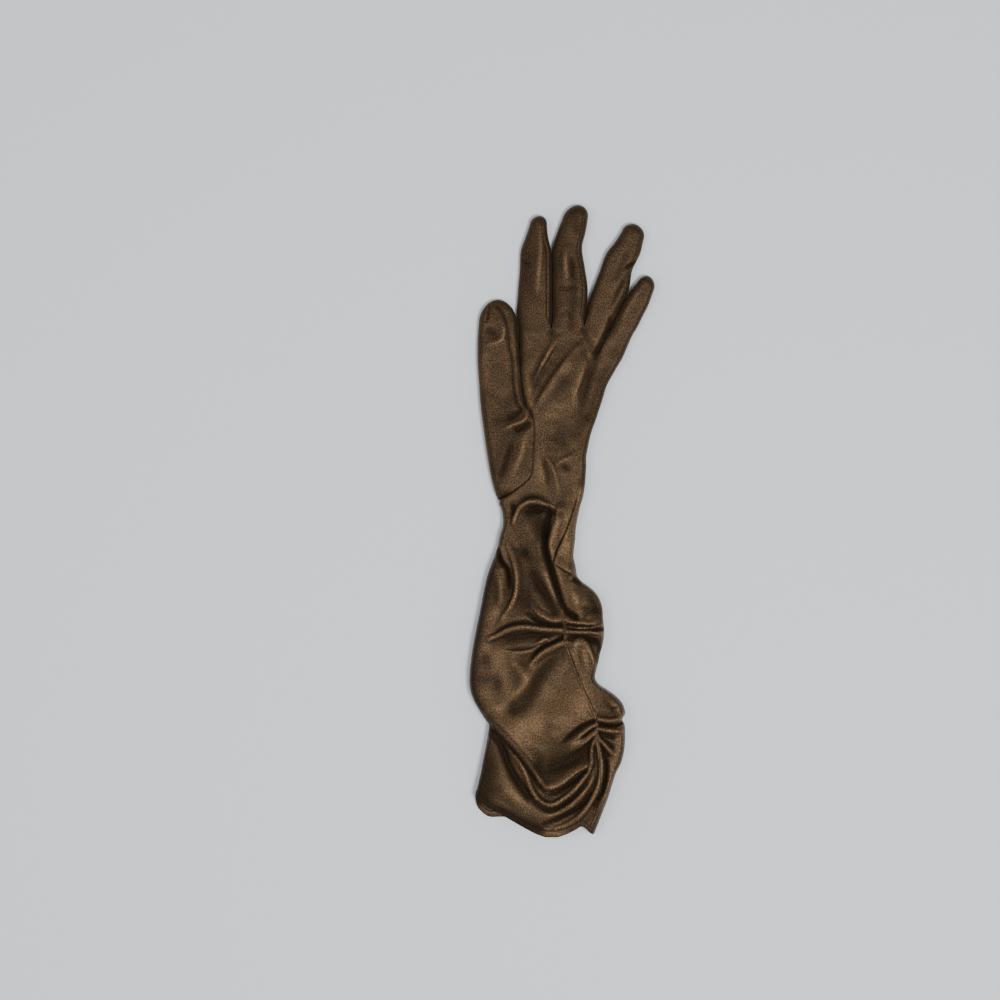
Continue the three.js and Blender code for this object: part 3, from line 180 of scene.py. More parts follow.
# %% The table of folds
# name, rise, width to the left, width to the right, start, end, path in pixels of the photo
FOLDS = [
    # upper gather, left of the seam
    ("first ridge", 2.4, 1.0, 2.4, 0.7, 0.2, "564,619 556,620 549,619 543,616 537,612 532,606"),
    ("first valley", -3.0, 1.4, 1.0, 0.6, 0.2, "564,624 548,624 536,619 528,613"),
    ("long ridge", 3.4, 1.8, 1.3, 0.6, 0.4,
     "566,629.5 556,629 544,628.5 534,627 525,626 514,627 505,630 498,634 489,638"),
    ("valley above it", -1.2, 0.9, 1.6, 0.3, 0.2, "556,625 540,624.5 524,622.5 512,624 502,628 492,634"),
    ("dark lens", -1.4, 3.2, 2.4, 0.5, 0.3, "556,633 540,633.5 524,635 508,637.5 494,640.5"),
    ("lip of the lens", 1.4, 3.0, 1.2, 0.3, 0.2, "546,640 538,646 528,650 514,651 502,649"),
    ("small ridge in the lens", 1.4, 1.0, 1.0, 0.3, 0.2, "550,641 545,638 540,641 533,644"),
    ("lower ridge", 2.6, 2.4, 1.1, 0.7, 0.1, "566,641 558,643 550,647 544,650 538,655 533,660 528,667"),
    ("valley above the lower ridge", -2.6, 1.0, 1.6, 0.8, 0.2, "562,637 553,642 544,646 537,651 531,658"),
    # upper gather, right of the seam
    ("right ridge", 1.8, 1.8, 0.8, 0.7, 0.2, "566,620.5 575,621.8 585,623 592,623.6"),
    ("right valley", -1.8, 0.7, 0.7, 0.6, 0.5, "567,624.4 577,625 588,625.4 596,625.6"),
    ("right middle ridge of the upper gather", 1.2, 0.6, 0.7, 0.2, 0.9,
     "572,627.6 582,627 592,626 603,624"),
    ("right lower valley", -2.0, 0.8, 0.8, 0.6, 0.9, "567,628 578,629.3 590,629.4 603,628.6"),
    ("right long ridge", 2.8, 0.9, 1.4, 0.7, 0.8, "566,630.5 578,630.5 590,631 602,633"),
    ("right hollow", -2.2, 1.2, 3.0, 0.5, 0.5, "570,636 582,636 596,640 600,648"),
    ("right pocket", 2.0, 1.2, 3.0, 0.2, 0.3,
     "573,656 572.5,648 575,641 580,637.5 585,641 589,649 593,660 597,672"),
    ("puff in the right pocket", 1.6, 2.6, 2.6, 0.4, 0.4, "580,644 583,655 586,667"),
    ("shade above the gather", -1.2, 3.0, 3.0, 0.5, 0.5, "578,612 590,610 600,612"),
    # wrist and forearm
    ("long groove", -4.2, 1.5, 2.5, 0.9, 0.7,
     "550,513 548,525 546,540 547,552 551,566 556,582 560,595 563,605 568,611 575,616"),
    ("wrist pocket", -2.8, 3.6, 1.1, 0.8, 0.6, "556,510 548,507.5 538,507 530,509"),
    ("floor of the pocket", -2.4, 3.4, 5.0, 0.7, 0.2, "541,511 543,520 545,530 547,542"),
    ("wrist ridge", 2.8, 1.1, 2.0, 0.4, 0.6,
     "513,523 515,515 518,509 524,503.5 531,501 538,501.5 545,504 551,507 557,510"),
    ("shade above the wrist ridge", -1.0, 2.4, 1.0, 0.3, 0.3, "516,501 523,498 532,496.5 541,497 549,500"),
    ("pit beside the wrist ridge", -1.6, 1.6, 1.6, 0.3, 0.3, "512,503 514,510 512,516"),
    ("ridge right of the groove", 1.8, 2.6, 0.9, 0.8, 0.3, "557,510 556,520 552,532 549,545 551,558"),
    ("soft ridge left of the groove", 0.7, 3.5, 4.5, 0.4, 0.3, "524,518 529,530 534,542"),
    ("bulge beside the wrist seam", 2.4, 4.2, 4.2, 0.4, 0.4, "567,500 566,516 564,532 561,548"),
    ("line of the wrist seam", -1.4, 0.8, 0.8, 0.4, 0.7,
     "576,500 572.5,511 568.6,522.4 562.4,537.8 556.3,550 553.3,560.7"),
    ("dimple of the forearm", -1.2, 2.5, 2.5, 0.5, 0.5, "521,548 528,556"),
    ("left ridge", 2.6, 3.0, 1.0, 0.3, 0.3,
     "507,545 512,558 515,569 516,580 515,592 512,601 507,610 502,616"),
    ("wedge left of it", -3.6, 1.0, 2.0, 0.9, 0.1, "498,548 502,560 508,568 510,580 509,592"),
    ("left lobe", 1.2, 2.5, 2.5, 0.4, 0.3, "497,570 500,585 500,600 493,612"),
    ("broad shade", -2.4, 3.2, 3.4, 0.3, 0.8, "535,574 541,586 548,598 555,609"),
    ("turned edge of the wrist", 1.6, 5.0, 0.6, 0.4, 0.9, "554,562 560,566 566,570 574,574"),
    ("small flap", 1.2, 0.8, 0.8, 0.3, 0.5, "574,558 577,566 577,576"),
    ("pit by the flap", -1.6, 1.1, 1.1, 1.0, 1.0, "574,580 578,582"),
    ("rim of the pit", 1.0, 0.8, 0.8, 0.4, 0.4, "569,577 574,575 580,577 583,582"),
    ("right lobe", 1.4, 3.6, 3.6, 0.5, 0.5, "569,586 574,598 579,611"),
    ("shade of the right lobe", -1.2, 3.2, 3.2, 0.5, 0.5, "590,596 595,606 597,615"),
    # middle of the arm
    ("soft fold", 1.4, 3.4, 8.0, 0.3, 0.4, "536,662 530,674 521,686 511,697 500,704"),
    ("soft valley", -1.5, 3.8, 3.8, 0.3, 0.8, "560,652 550,661 540,675 533,691 523,704 514,708"),
    ("left dimple", -0.8, 3.0, 3.0, 0.5, 0.5, "497,677 499,689"),
    ("upper left dimple", -0.7, 2.8, 2.8, 0.5, 0.5, "484,653 486,664"),
    ("soft ridge", 1.0, 4.0, 4.0, 0.3, 0.3, "505,655 520,668 527,684"),
    ("broad puff", 3.0, 10.0, 10.0, 0.6, 0.6, "522,722 550,720 575,710"),
    ("foot of the puff", 1.2, 6.0, 6.0, 0.5, 0.5, "524,720 531,729 543,735 556,733 568,726"),
    ("belt of the turned fold", 0.7, 5.0, 5.0, 0.3, 0.4, "482,690 490,700 500,712 512,728 528,745 545,752"),
    # lower gather, left of the seam
    ("top crease", -2.0, 1.4, 1.0, 0.8, 0.1, "594,719 585,722 576,728 567,736 560,744"),
    ("short ridge", 1.8, 1.1, 1.1, 0.6, 0.1, "596,723 588,727 580,733 571,741"),
    ("short valley", -1.3, 0.8, 0.8, 0.8, 0.2, "596,725 588,731 580,738"),
    ("second ridge", 2.6, 1.0, 2.2, 0.7, 0.1, "597,727 593,733 587,738 581,743 574,749"),
    ("puff under it", 1.6, 3.0, 3.0, 0.3, 0.3, "583,733 574,742 568,750"),
    ("hollow inside the swag", -3.4, 5.6, 5.6, 0.7, 0.7, "586,750 574,757 560,763 548,767 541,766"),
    ("lip of the turned fold", 2.4, 0.8, 3.0, 0.3, 0.9,
     "590,762 584,766 578,769 570,775 563,781 556,785 549,787"),
    ("valley under the lip", -2.0, 1.0, 1.0, 0.3, 0.6, "593,764 586,770 578,776 568,784 558,791 549,793"),
    ("turned fold", 2.4, 8.0, 1.0, 0.7, 0.8,
     "492,722 499,730 506,737 513,744 519.5,751.5 525,759 530.5,766 536,774 541,783"),
    ("line of the turned fold", -2.6, 0.8, 0.8, 0.9, 0.7,
     "489,724 496.5,731.5 504,738.5 510.5,746 517,753.5 522,760 527.5,767 532.5,774 538,782 544,789"),
    ("swag ridge", 3.2, 1.1, 1.3, 0.7, 0.5,
     "597,734 592.5,742 591,751 591,762 587,772 580,781 572,790 563,797 555,802 548,803 541,800 535,794"
     " 530,785 526,774 521,763 515,753"),
    ("valley outside the swag", -1.9, 2.6, 1.2, 0.3, 0.4,
     "586,782 578,790 568,799 558,806 549,808 541,804 533,797 527,788"),
    ("soft middle ridge", 1.8, 1.6, 1.6, 0.2, 0.2, "594,765 591,779 581,793 569,804 557,811 546,813"),
    ("valley under the middle ridge", -2.1, 1.6, 1.4, 0.5, 0.5, "590,792 581,803 569,811 557,817 545,822"),
    ("outer swag ridge", 2.8, 1.4, 1.2, 0.7, 0.4,
     "597,742 600,754 600.5,768 598,782 593,794 586,806 577,816 566,823 555,827"),
    ("valley right of the swag", -3.2, 2.2, 1.0, 0.5, 0.3, "601,748 604,760 604,775 601,789 594,803"),
    ("left puff at the hem", 1.4, 5.0, 5.0, 0.3, 0.3, "501,782 512,794 524,806"),
    ("shade left of the swag", -3.0, 2.6, 2.8, 0.5, 0.5,
     "492,731 499,740 504,750 508,761 513,772 520,783 527,794"),
    # lower gather, right of the seam
    ("right soft ridge", 0.8, 3.0, 3.0, 0.3, 0.3, "612,760 609,780 603,800 597,818"),
    ("right top ridge", 2.4, 1.4, 0.8, 0.7, 0.5, "598,718 608,719.5 616,718.5 621,716 623,712"),
    ("right top valley", -3.2, 0.9, 0.9, 0.7, 0.9, "599,722.5 608,724 616,724 623,721"),
    ("right middle ridge", 2.4, 0.9, 1.1, 0.7, 0.6, "598,727 605,728.5 614,729.5 624,730"),
    ("right middle valley", -1.8, 1.0, 2.0, 0.7, 0.1, "600,732 608,734 616,736"),
    ("right slant ridge", 2.2, 1.1, 1.1, 0.7, 0.2, "598,737 604,743 610,750 615,753"),
    ("shade above the slant ridge", -1.4, 1.2, 1.2, 0.5, 0.2, "602,737 609,743 615,748"),
    ("shade below the slant ridge", -1.6, 1.0, 1.2, 0.6, 0.2, "599,742 605,750 610,757"),
    ("right bulge", 1.2, 3.0, 3.0, 0.5, 0.5, "606,697 613,704 618,711"),
    ("pit of the bulge", -0.8, 0.9, 0.9, 1.0, 1.0, "611,708 615,706"),
    # palm
    ("blotch under the fingers", -0.4, 1.6, 2.4, 1.0, 1.0, "551,338 556,334"),
    ("first palm ridge", 1.5, 1.0, 2.6, 0.4, 0.2, "556,343 550,352 544,362 538,372"),
    ("first palm valley", -0.5, 2.3, 2.3, 0.3, 0.4, "564,341 556,350 548,362 540,375 534,387 529,398"),
    ("second palm ridge", 1.7, 8.0, 1.6, 0.3, 0.3, "577,347 567,360 557,374 548,387 540,400 534,413"),
    ("shade left of the first ridge", -0.8, 1.0, 3.0, 0.5, 0.2, "548,349 541,361 535,373 529,384"),
    ("third palm ridge", 1.3, 1.8, 6.0, 0.3, 0.2, "588,354 584,366 580,379 575,393 572,406"),
    ("side valley of the palm", -0.9, 2.4, 2.4, 0.5, 0.2,
     "599,352 594,364 589,377 585,391 581,405 578,420"),
    ("smudge under the ring finger", -0.5, 2.0, 2.0, 1.0, 1.0, "583,352 588,360"),
    ("groove under the little finger", -1.8, 1.4, 2.0, 0.9, 0.1, "611,320 608,331 602,343 596,354 592,364"),
    ("crease under the ring finger", -0.5, 1.4, 1.4, 0.5, 0.5, "584,330 587,338 592,343"),
    ("lower palm valley", -0.8, 1.5, 1.5, 0.4, 0.3, "541,455 546,470 549,488"),
    ("lower palm ridge", 0.8, 1.4, 1.0, 0.4, 0.3, "547,458 553,470 557,486 558,498"),
    ("palm dimple", -0.8, 1.2, 1.8, 0.6, 0.6, "563,465 568,468"),
    ("ridge over the dimple", 0.6, 1.2, 1.2, 0.4, 0.4, "556,464 563,460 571,457"),
    ("palm smudge", -0.7, 3.0, 3.0, 0.5, 0.5, "549,436 560,440 566,450"),
    # thumb
    ("curl at the crotch", 1.8, 1.0, 1.2, 0.4, 0.1, "527,407 527,416 523.5,421 518,423.5 511,426 504,430"),
    ("hollow above the curl", -1.6, 1.2, 3.0, 0.8, 0.2, "520,412 514,417 506,421"),
    ("hollow below the curl", -1.8, 2.6, 1.0, 0.7, 0.1, "527,424 520,428 512,431"),
    ("thumb base valley", -1.2, 2.2, 2.2, 0.3, 0.3, "515,436 510,450 504,468 499,482"),
    ("thumb base ridge", 0.9, 2.0, 2.0, 0.3, 0.3, "526,430 523,445 519,458 512,474"),
    ("thumb side seam", -1.1, 0.7, 0.7, 0.9, 0.9,
     "497,307 502,313 505.7,322 507.7,335 509,348 511.7,358 512.5,370 513,382 514.5,394 517,404 521,409"),
    ("crease of the thumb tip", -1.0, 0.8, 0.8, 0.4, 0.4, "489,309 488,318 486,322"),
    ("dimple of the thumb", -0.8, 2.2, 2.2, 1.0, 1.0, "489,330 493,333"),
    ("ridge by the dimple", 1.2, 1.8, 1.8, 0.3, 0.4, "501,322 504,330 502,339 496,343 490,344"),
    # fingers
    ("index ridge", 1.2, 1.9, 2.2, 0.5, 0.4, "540.5,228 540.5,242 540,258 538.5,275 537,290"),
    ("index crease", -0.6, 1.2, 1.2, 0.5, 0.5, "522,262 530,266"),
    ("middle ridge", 1.4, 2.2, 2.2, 0.4, 0.4, "566,250 565,262 566,276"),
    ("middle crease", -0.6, 1.6, 1.6, 0.8, 0.5, "559,288 567,289 575,288"),
    ("middle nick", -1.0, 0.8, 0.8, 0.5, 0.5, "571,258 572,268 572,278"),
    ("middle base pucker", -0.5, 1.0, 1.0, 0.4, 0.4, "560,318 566,312 571,320"),
    ("dent of the ring finger", -1.8, 1.0, 1.0, 1.0, 0.2, "637,262 630,266 624,270"),
    ("shade of the ring finger", -0.9, 1.6, 1.6, 0.3, 0.3, "627,275 621,285 616,294 612,304"),
    ("ring finger ridge", 0.3, 2.0, 2.0, 0.3, 0.3, "630,240 620,256 612,275"),
    ("little finger ridge", 0.4, 1.6, 1.6, 0.4, 0.4, "641,285 632,300 622,318"),
]
END_SHARE = 0.35  # part of a path's length over which its ends fade
PATH_STEPS = 3  # steps in each stretch of a smoothed path
SIDE_BLEND = 3.0  # how fast the width changes from one side of a path to the other
FOLD_REACH = 2.6  # in widths: further than this from its path a fold is nothing


def between(a, b, c, d, s):
    """A Catmull-Rom curve: the cubic from b to c, at shares s, whose slopes at its ends are half of c - a
    and half of d - b."""
    return b + 0.5 * s * (c - a + s * (2 * a - 5 * b + 4 * c - d + s * (3 * (b - c) + d - a)))


def smooth_path(path):
    """A path in pixels as corners in millimetres, with extra points between them on Catmull-Rom curves."""
    corners = places_of(path)
    padded = np.concatenate([2 * corners[:1] - corners[1:2], corners, 2 * corners[-1:] - corners[-2:-1]])
    a, b, c, d = padded[:-3, None], padded[1:-2, None], padded[2:-1, None], padded[3:, None]
    s = (np.arange(PATH_STEPS) / PATH_STEPS)[None, :, None]
    return np.concatenate([between(a, b, c, d, s).reshape(-1, 2), corners[-1:]])


def one_fold(x, y, rise, left, right, start, end, path):
    """Height and slope of one fold at many places. The height is rise times e to the power of minus
    (distance to the path over the width on that side) squared, times the fading along the path."""
    best = np.full(x.shape, np.inf)
    nearest = [np.zeros(x.shape) for _ in range(4)]
    lengths = np.hypot(*np.diff(path, axis=0).T)
    run = np.concatenate([[0], np.cumsum(lengths)]) / lengths.sum()
    for k, (p, q) in enumerate(zip(path[:-1], path[1:])):
        way = q - p
        s = np.clip(((x - p[0]) * way[0] + (y - p[1]) * way[1]) / (way @ way), 0, 1)
        dx, dy = x - p[0] - s * way[0], y - p[1] - s * way[1]
        squared = dx * dx + dy * dy
        closer = squared < best
        best = np.where(closer, squared, best)
        found = (dx, dy, way[0] * dy - way[1] * dx, mix(run[k], run[k + 1], s))
        nearest = [np.where(closer, new, old) for new, old in zip(found, nearest)]
    dx, dy, side, along = nearest
    width = mix(right, left, (1 + np.tanh(side * SIDE_BLEND)) / 2)
    fade = mix(start, 1, smooth_step(along, 0, END_SHARE)) * mix(end, 1, smooth_step(1 - along, 0, END_SHARE))
    height = rise * fade * np.exp(-best / width**2)
    return height, -2 * dx / width**2 * height, -2 * dy / width**2 * height


SMOOTH_FOLDS = [(*sizes, smooth_path(path)) for _, *sizes, path in FOLDS]


def all_folds(x, y, folds=SMOOTH_FOLDS):
    """The sum of all folds and of their slopes. Each fold is worked out only near its own path."""
    total = [np.zeros(x.shape) for _ in range(3)]
    for rise, left, right, start, end, path in folds:
        reach = FOLD_REACH * max(left, right)
        low, high = path.min(axis=0) - reach, path.max(axis=0) + reach
        near = (x > low[0]) & (x < high[0]) & (y > low[1]) & (y < high[1])
        if near.any():
            parts = one_fold(x[near], y[near], rise, left, right, start, end, path)
            for sum_of, part in zip(total, parts):
                sum_of[near] += part
    return total


print(len(FOLDS), "folds on", sum(len(path) - 1 for *_, path in SMOOTH_FOLDS), "stretches of path")

# %% [markdown]
# ## Small irregularities
# Cloth is never as even as a formula. Low swells a few centimetres long and fine wrinkles are added with
# value noise: random heights on a lattice, with smooth steps between them. The seeds are fixed, so that the
# result is the same each time.

# %% Noise and fine wrinkles
LATTICE = 256  # corners along each side of the lattice
GATHERS = places_of("565,629 597,731")
GATHER_WRINKLE, GATHER_REACH = 0.22, 16.0  # height of the fine wrinkles beside a gather, and their reach
GATHER_TALL = 1.5  # they reach this many times as far along the arm as across it
WRINKLES_ROUND, WRINKLE_MEET = 26, 2.0  # in a full turn, and how far behind the seam their lines meet
WRINKLE_BEND, WRINKLE_BEND_SIZE = 0.15, 6.0  # strength and size of the noise that bends them
WRINKLE_START = (0.5, 3.0)  # from where to where they set in
TIGHT_RISE, TIGHT_PLACE, TIGHT_WIDTH, TIGHT_REACH = 0.5, 0.7, 0.9, 12.0  # of the welt at a gather
# size of the noise, its height on the hand, its height on the arm, slant
SWELLS = [(15.0, 0.4, 0.9, 0.0), (8.0, 0.3, 0.3, 0.5), (3.3, 0.09, 0.09, 0.0), (1.4, 0.035, 0.035, 0.0)]
ARM_SWELL_ROWS = (40.0, -60.0)  # over which the hand's swells turn into the arm's


def value_noise(x, y, size, seed):
    """Random heights from -1 to 1 on a square lattice of this size, joined by smooth steps."""
    lattice = np.random.default_rng(seed).uniform(-1, 1, (LATTICE, LATTICE))
    column, row = x / size, y / size
    i, j = np.floor(column).astype(int), np.floor(row).astype(int)
    s, t = smooth_step(column - i, 0, 1), smooth_step(row - j, 0, 1)

    def corner(right, up):
        return lattice[(j + up) % LATTICE, (i + right) % LATTICE]

    return mix(mix(corner(0, 0), corner(1, 0), s), mix(corner(0, 1), corner(1, 1), s), t)


def gather_wrinkles(x, y):
    """Fine pleats that fan out from each gather: a sine of the angle round it, fading with distance, and
    bent a little by noise."""
    height = np.zeros(x.shape)
    for k, (gather_x, gather_y) in enumerate(GATHERS):
        across, along = x - gather_x, y - gather_y
        distance = np.hypot(across, along / GATHER_TALL)
        bend = WRINKLE_BEND * value_noise(x, y, WRINKLE_BEND_SIZE, seed=40 + k)
        angle = np.arctan2(along, np.abs(across) + WRINKLE_MEET) + bend
        fade = smooth_step(distance, *WRINKLE_START) * np.exp(-((distance / GATHER_REACH) ** 2))
        height += GATHER_WRINKLE * fade * np.sin(angle * WRINKLES_ROUND + k)
    return height


def gather_welt(x, y):
    """1 on the welt of the arm seam where the thread is pulled tight: a bell curve across the seam, times
    one along it at each gather."""
    across = np.exp(-(((x - seam_line(y) + TIGHT_PLACE) / TIGHT_WIDTH) ** 2))
    return across * sum(np.exp(-(((y - gather_y) / TIGHT_REACH) ** 2)) for _, gather_y in GATHERS)


def swells(x, y):
    """The sum of noises of four sizes: broad swells that are stronger on the wide arm, slanting ones,
    small dents, and a slight unevenness of the knit."""
    on_arm = smooth_step(y, *ARM_SWELL_ROWS)
    return sum(mix(on_hand, arm, on_arm) * value_noise(x + slant * y, y, size, seed)
               for seed, (size, on_hand, arm, slant) in enumerate(SWELLS, start=1))


print(len(GATHERS), "gathers,", round(float(np.hypot(*(GATHERS[0] - GATHERS[1]))), 1), "mm apart")

# %% [markdown]
# ## Crests and hollows
# Crests are painted lighter, as a highlight, and hollows are painted darker, as the shade that falls in them,
# beyond what their slopes alone would make them. Each point is therefore given a number that says how far it
# stands above or below its surroundings, and the material reads it. A ridge and a broad hollow are of very
# different widths, so the comparison is made at five distances. It says nothing about a broad part of the
# cloth that leans to the light, or away from it, as a whole. Such parts were found where the relief alone
# left the cloth lighter or darker than the photo, and a second table adds them to the number as painted light
# and shade. Such parts were found where an earlier render was lighter or darker than the photo, and a second
# table, set by hand, adds them to the number. They are paint and not shape, so they stay the same when the
# light moves.

# %% Crests and hollows
# distance of the places round a point, height of a whole crest
CREST_SCALES = ((1.2, 2.0), (2.4, 3.4), (4.0, 3.8), (6.0, 5.0), (8.5, 5.0))
# name, share of a whole crest of painted light (below 0 painted shade), width, path in pixels of the photo
PAINTED_LIGHT_AND_SHADE = [
    ("forearm leans away", -0.8, 7.0, "533,508 536,530 538,553 534,580 528,604"),
    ("left flank of the groove", -0.9, 2.3, "547,552 551,574 557,603"),
    ("cloth right of the wrist seam", 1.4, 4.0, "580,494 575,512 571,535 569,558"),
    ("light over the wrist ridge", 0.4, 2.5, "516,500 528,496 542,497"),
    ("left ridge leans away", -0.4, 2.0, "517,560 517,598"),
    ("left lobe leans away", -0.4, 3.0, "499,566 499,600"),
    ("light left of the upper gather", 0.5, 3.5, "496,612 490,626 484,650"),
    ("shade under the lens", -0.4, 2.5, "515,648 530,650 540,644"),
    ("side of the right lobe", -0.4, 4.0, "582,585 590,600"),
    ("left side of the arm", -0.8, 3.6, "494,562 485,600 478,640 473,680 479,708"),
    ("light on the upper puff", 0.8, 5.0, "500,655 504,672 506,688"),
    ("shade left of the upper puff", -0.5, 4.0, "484,678 494,678"),
    ("shade right of the upper puff", -0.3, 3.0, "521,675 514,690"),
    ("shade under the upper gather", -0.3, 3.0, "556,664 550,680"),
    ("light on the left puff", 0.6, 4.5, "488,694 500,708 514,722 526,737"),
    ("light on the broad puff", 0.8, 8.0, "530,722 545,706 562,697 580,700"),
    ("light beside the seam", 0.5, 3.5, "573,642 578,662 584,690"),
    ("edge of the turned fold", -1.4, 3.0, "489,718 505,734 521,751 534,766 546,781"),
    ("light inside the turned fold", 0.4, 3.5, "532,744 542,748"),
    ("shade on the foot of the puff", -0.4, 3.5, "530,728 545,731"),
    ("right bulge leans away", -0.4, 2.5, "606,698 612,706"),
    ("hem leans away", -0.9, 9.0, "492,742 487,768 482,792"),
    ("left corner of the hem", -1.2, 5.0, "476,800 486,808 497,812"),
    ("light on the left of the hem", 0.4, 3.5, "502,795 507,806"),
    ("foot of the hem", -1.2, 4.5, "505,812 520,821 538,827"),
    ("light at the lowest hem", 0.6, 2.5, "548,832 566,832"),
    ("shade above the hollow", -0.7, 4.0, "538,753 552,752 564,749"),
    ("right side at the lower gather", 0.5, 3.0, "620,720 621,735 616,752"),
    ("palm under the ridges", -0.5, 4.0, "562,382 550,396 543,409"),
    ("light between the palm's ridges", 0.5, 2.0, "553,354 547,365"),
    ("shade at the foot of the ridge", -0.4, 2.4, "539,370 534,384"),
    ("light on the palm", 0.5, 5.0, "548,412 562,408"),
    ("smudge on the palm", -0.5, 2.5, "549,448 556,450"),
    ("shade across the palm", -0.5, 4.0, "560,431 572,436 585,418"),
    ("light beside the thumb seam", 0.5, 3.0, "539,458 541,478"),
    ("light on the thumb's side", 0.4, 4.0, "484,360 484,385"),
    ("base of the index finger", 0.8, 3.0, "521,370 526,392 532,412"),
    ("little finger's side of the palm", -0.4, 3.0, "604,372 596,396 588,420"),
    ("shade under the ring finger", -0.5, 3.0, "580,346 591,350"),
    ("thumb leans away", -0.6, 4.0, "514,398 508,412 497,422"),
    ("base of the thumb", -0.6, 4.0, "509,434 502,452 496,472"),
    ("middle finger's right side", -0.6, 3.2, "573,268 573,295 571,326"),
    ("middle fingertip", -0.5, 2.6, "574,214 576,232"),
    ("index finger's left side", -0.4, 3.2, "530,255 527,275 534,300"),
    ("ring finger's middle", -0.5, 3.2, "625,257 617,277"),
]
SMOOTH_PAINTED_LIGHT_AND_SHADE = [(share, width, width, 1, 1, smooth_path(path)) for _, share, width, path in PAINTED_LIGHT_AND_SHADE]
# painted highlight: the pulled welt of the arm seam is painted lighter
PAINTED_WELT_HIGHLIGHT = 3.5  # share of a whole crest on the pulled welt, for its light line in the photo


def painted_light_of(x, y):
    """The number of the painted highlight and shade: how far a place stands above the mean of four places
    round it, as a share of a whole crest, summed over the distances, each turned by an eighth of a turn. The
    painted highlight of the welt and the broad painted light and shade are added: 1 on a sharp ridge, 0 where
    the cloth is even and -1 in a deep valley."""
    height = all_folds(x, y)[0]
    share = gather_welt(x, y) * PAINTED_WELT_HIGHLIGHT + all_folds(x, y, SMOOTH_PAINTED_LIGHT_AND_SHADE)[0]
    for k, (reach, whole) in enumerate(CREST_SCALES):
        angles = np.pi / 4 * (k + np.array([0, 2, 4, 6]))
        around = [all_folds(x + reach * np.cos(angle), y + reach * np.sin(angle))[0] for angle in angles]
        share += (height - np.mean(around, axis=0)) / whole
    return np.clip(share, -1, 1)


RIDGE_AND_HOLLOW = places_of("540,628.5 560,768")
print("crest on the long ridge and in the hollow:", painted_light_of(*RIDGE_AND_HOLLOW.T).round(2))

# %% [markdown]
# ## The seams
# A seam is a narrow groove, with small puckers beside it where the thread draws the cloth. The allowances of
# the arm seam are turned to the left inside, so a welt stands up there. At the gathers the groove closes.

# %% Relief of a seam
GROOVE_DEPTH, GROOVE_WIDTH = 0.42, 0.55
WELT_RISE, WELT_PLACE, WELT_WIDTH, WELT_GROOVE_SHARE = 0.45, 1.0, 0.8, 0.28
PUCKER, PUCKER_PITCH, PUCKER_WIDTH = 0.13, 2.7, 1.8
PUCKER_DRIFT, PUCKER_DRIFT_SIZE = 3, 9.0  # strength and size of the noise that makes their pitch uneven


def seam_groove(distance, along):
    """A groove in a bell curve of the distance, with small puckers that the thread draws beside it."""
    groove = -GROOVE_DEPTH * np.exp(-((distance / GROOVE_WIDTH) ** 2))
    drift = PUCKER_DRIFT * value_noise(along, distance * 0, PUCKER_DRIFT_SIZE, seed=7)
    pucker = PUCKER * np.sin(2 * np.pi * along / PUCKER_PITCH + drift)
    return groove + pucker * np.exp(-((distance / PUCKER_WIDTH) ** 2))


def arm_seam_relief(offset, along):
    """The arm seam's allowances lie to the left inside, so the cloth is raised there: a bell curve for
    the welt, and beside it a fine groove and the puckers of the thread."""
    welt = WELT_RISE * np.exp(-(((offset + WELT_PLACE) / WELT_WIDTH) ** 2))
    to_gather = np.min([np.abs(along - gather_y) for _, gather_y in GATHERS], axis=0)
    away = 1 - np.exp(-((to_gather / GATHER_REACH) ** 2))
    return welt + WELT_GROOVE_SHARE * away * seam_groove(np.abs(offset), along)


print("a seam is up to", GROOVE_DEPTH + PUCKER, "mm deep")

# %% [markdown]
# ## Height of the front and the back
# The front is a crown that falls in a quarter circle at each side. On it lie the folds, the swells and the
# narrow groove of each seam. The back is flat on the floor and rises in a smaller round at its sides.

# %% Front and back
FOLD_FADE = 4.0  # the folds run out this close to a side
LAP_REACH = 8.0  # they run on this far beyond the thumb seam
SEAM_RISE, SEAM_FALL, SEAM_OVERRUN = 6.0, 9.0, 2.0
CROTCH_TOP, CROTCH_BOTTOM, CROTCH_SPREAD = 7.8, 2.2, 1.6
SEAM_SHOWS = (0.5, 3.0)  # from the right side, where the arm seam comes onto the front
SOLE_SWELL, SOLE_SWELL_SIZE, SOLE_SWELL_END = 0.25, 14.0, 2.0  # height, size, and the level where it ends
PLUMP_START, PLUMP_FULL = 0.5, FOLD_FADE + 2  # from a side, where the cloth begins to bulge, and in full
STEEPEST = 2.5  # slope beyond which a point isn't moved further


def edge_fall(distance, round_over):
    """1 at an edge and 0 where its quarter circle ends: 1 - sqrt(1 - s^2), s falling from 1 to 0."""
    s = 1 - np.clip(distance / round_over, 0, 1)
    return 1 - np.sqrt(1 - s * s)


def side_level(y):
    """Height at which front and back meet at a side: the arm's, turning into the fingers'."""
    return mix(ARM_SIDE_LEVEL, FINGER_SIDE_LEVEL, smooth_step(y, CROTCH_Y, KNUCKLE_Y))


def thumb_seam_share(y):
    """1 where the thumb seam lies on top of the front, 0 where it is at the side."""
    rise = smooth_step(y, WRIST_Y, WRIST_Y + SEAM_RISE)
    return rise * (1 - smooth_step(y, CROTCH_Y - SEAM_FALL, CROTCH_Y + SEAM_OVERRUN))


def thumb_under_share(y):
    """The same for the thumb's join to the back, which lies flat underneath."""
    return smooth_step(y, WRIST_Y, WRIST_Y + SEAM_RISE) * (1 - smooth_step(y, CROTCH_Y - SEAM_FALL, CROTCH_Y))


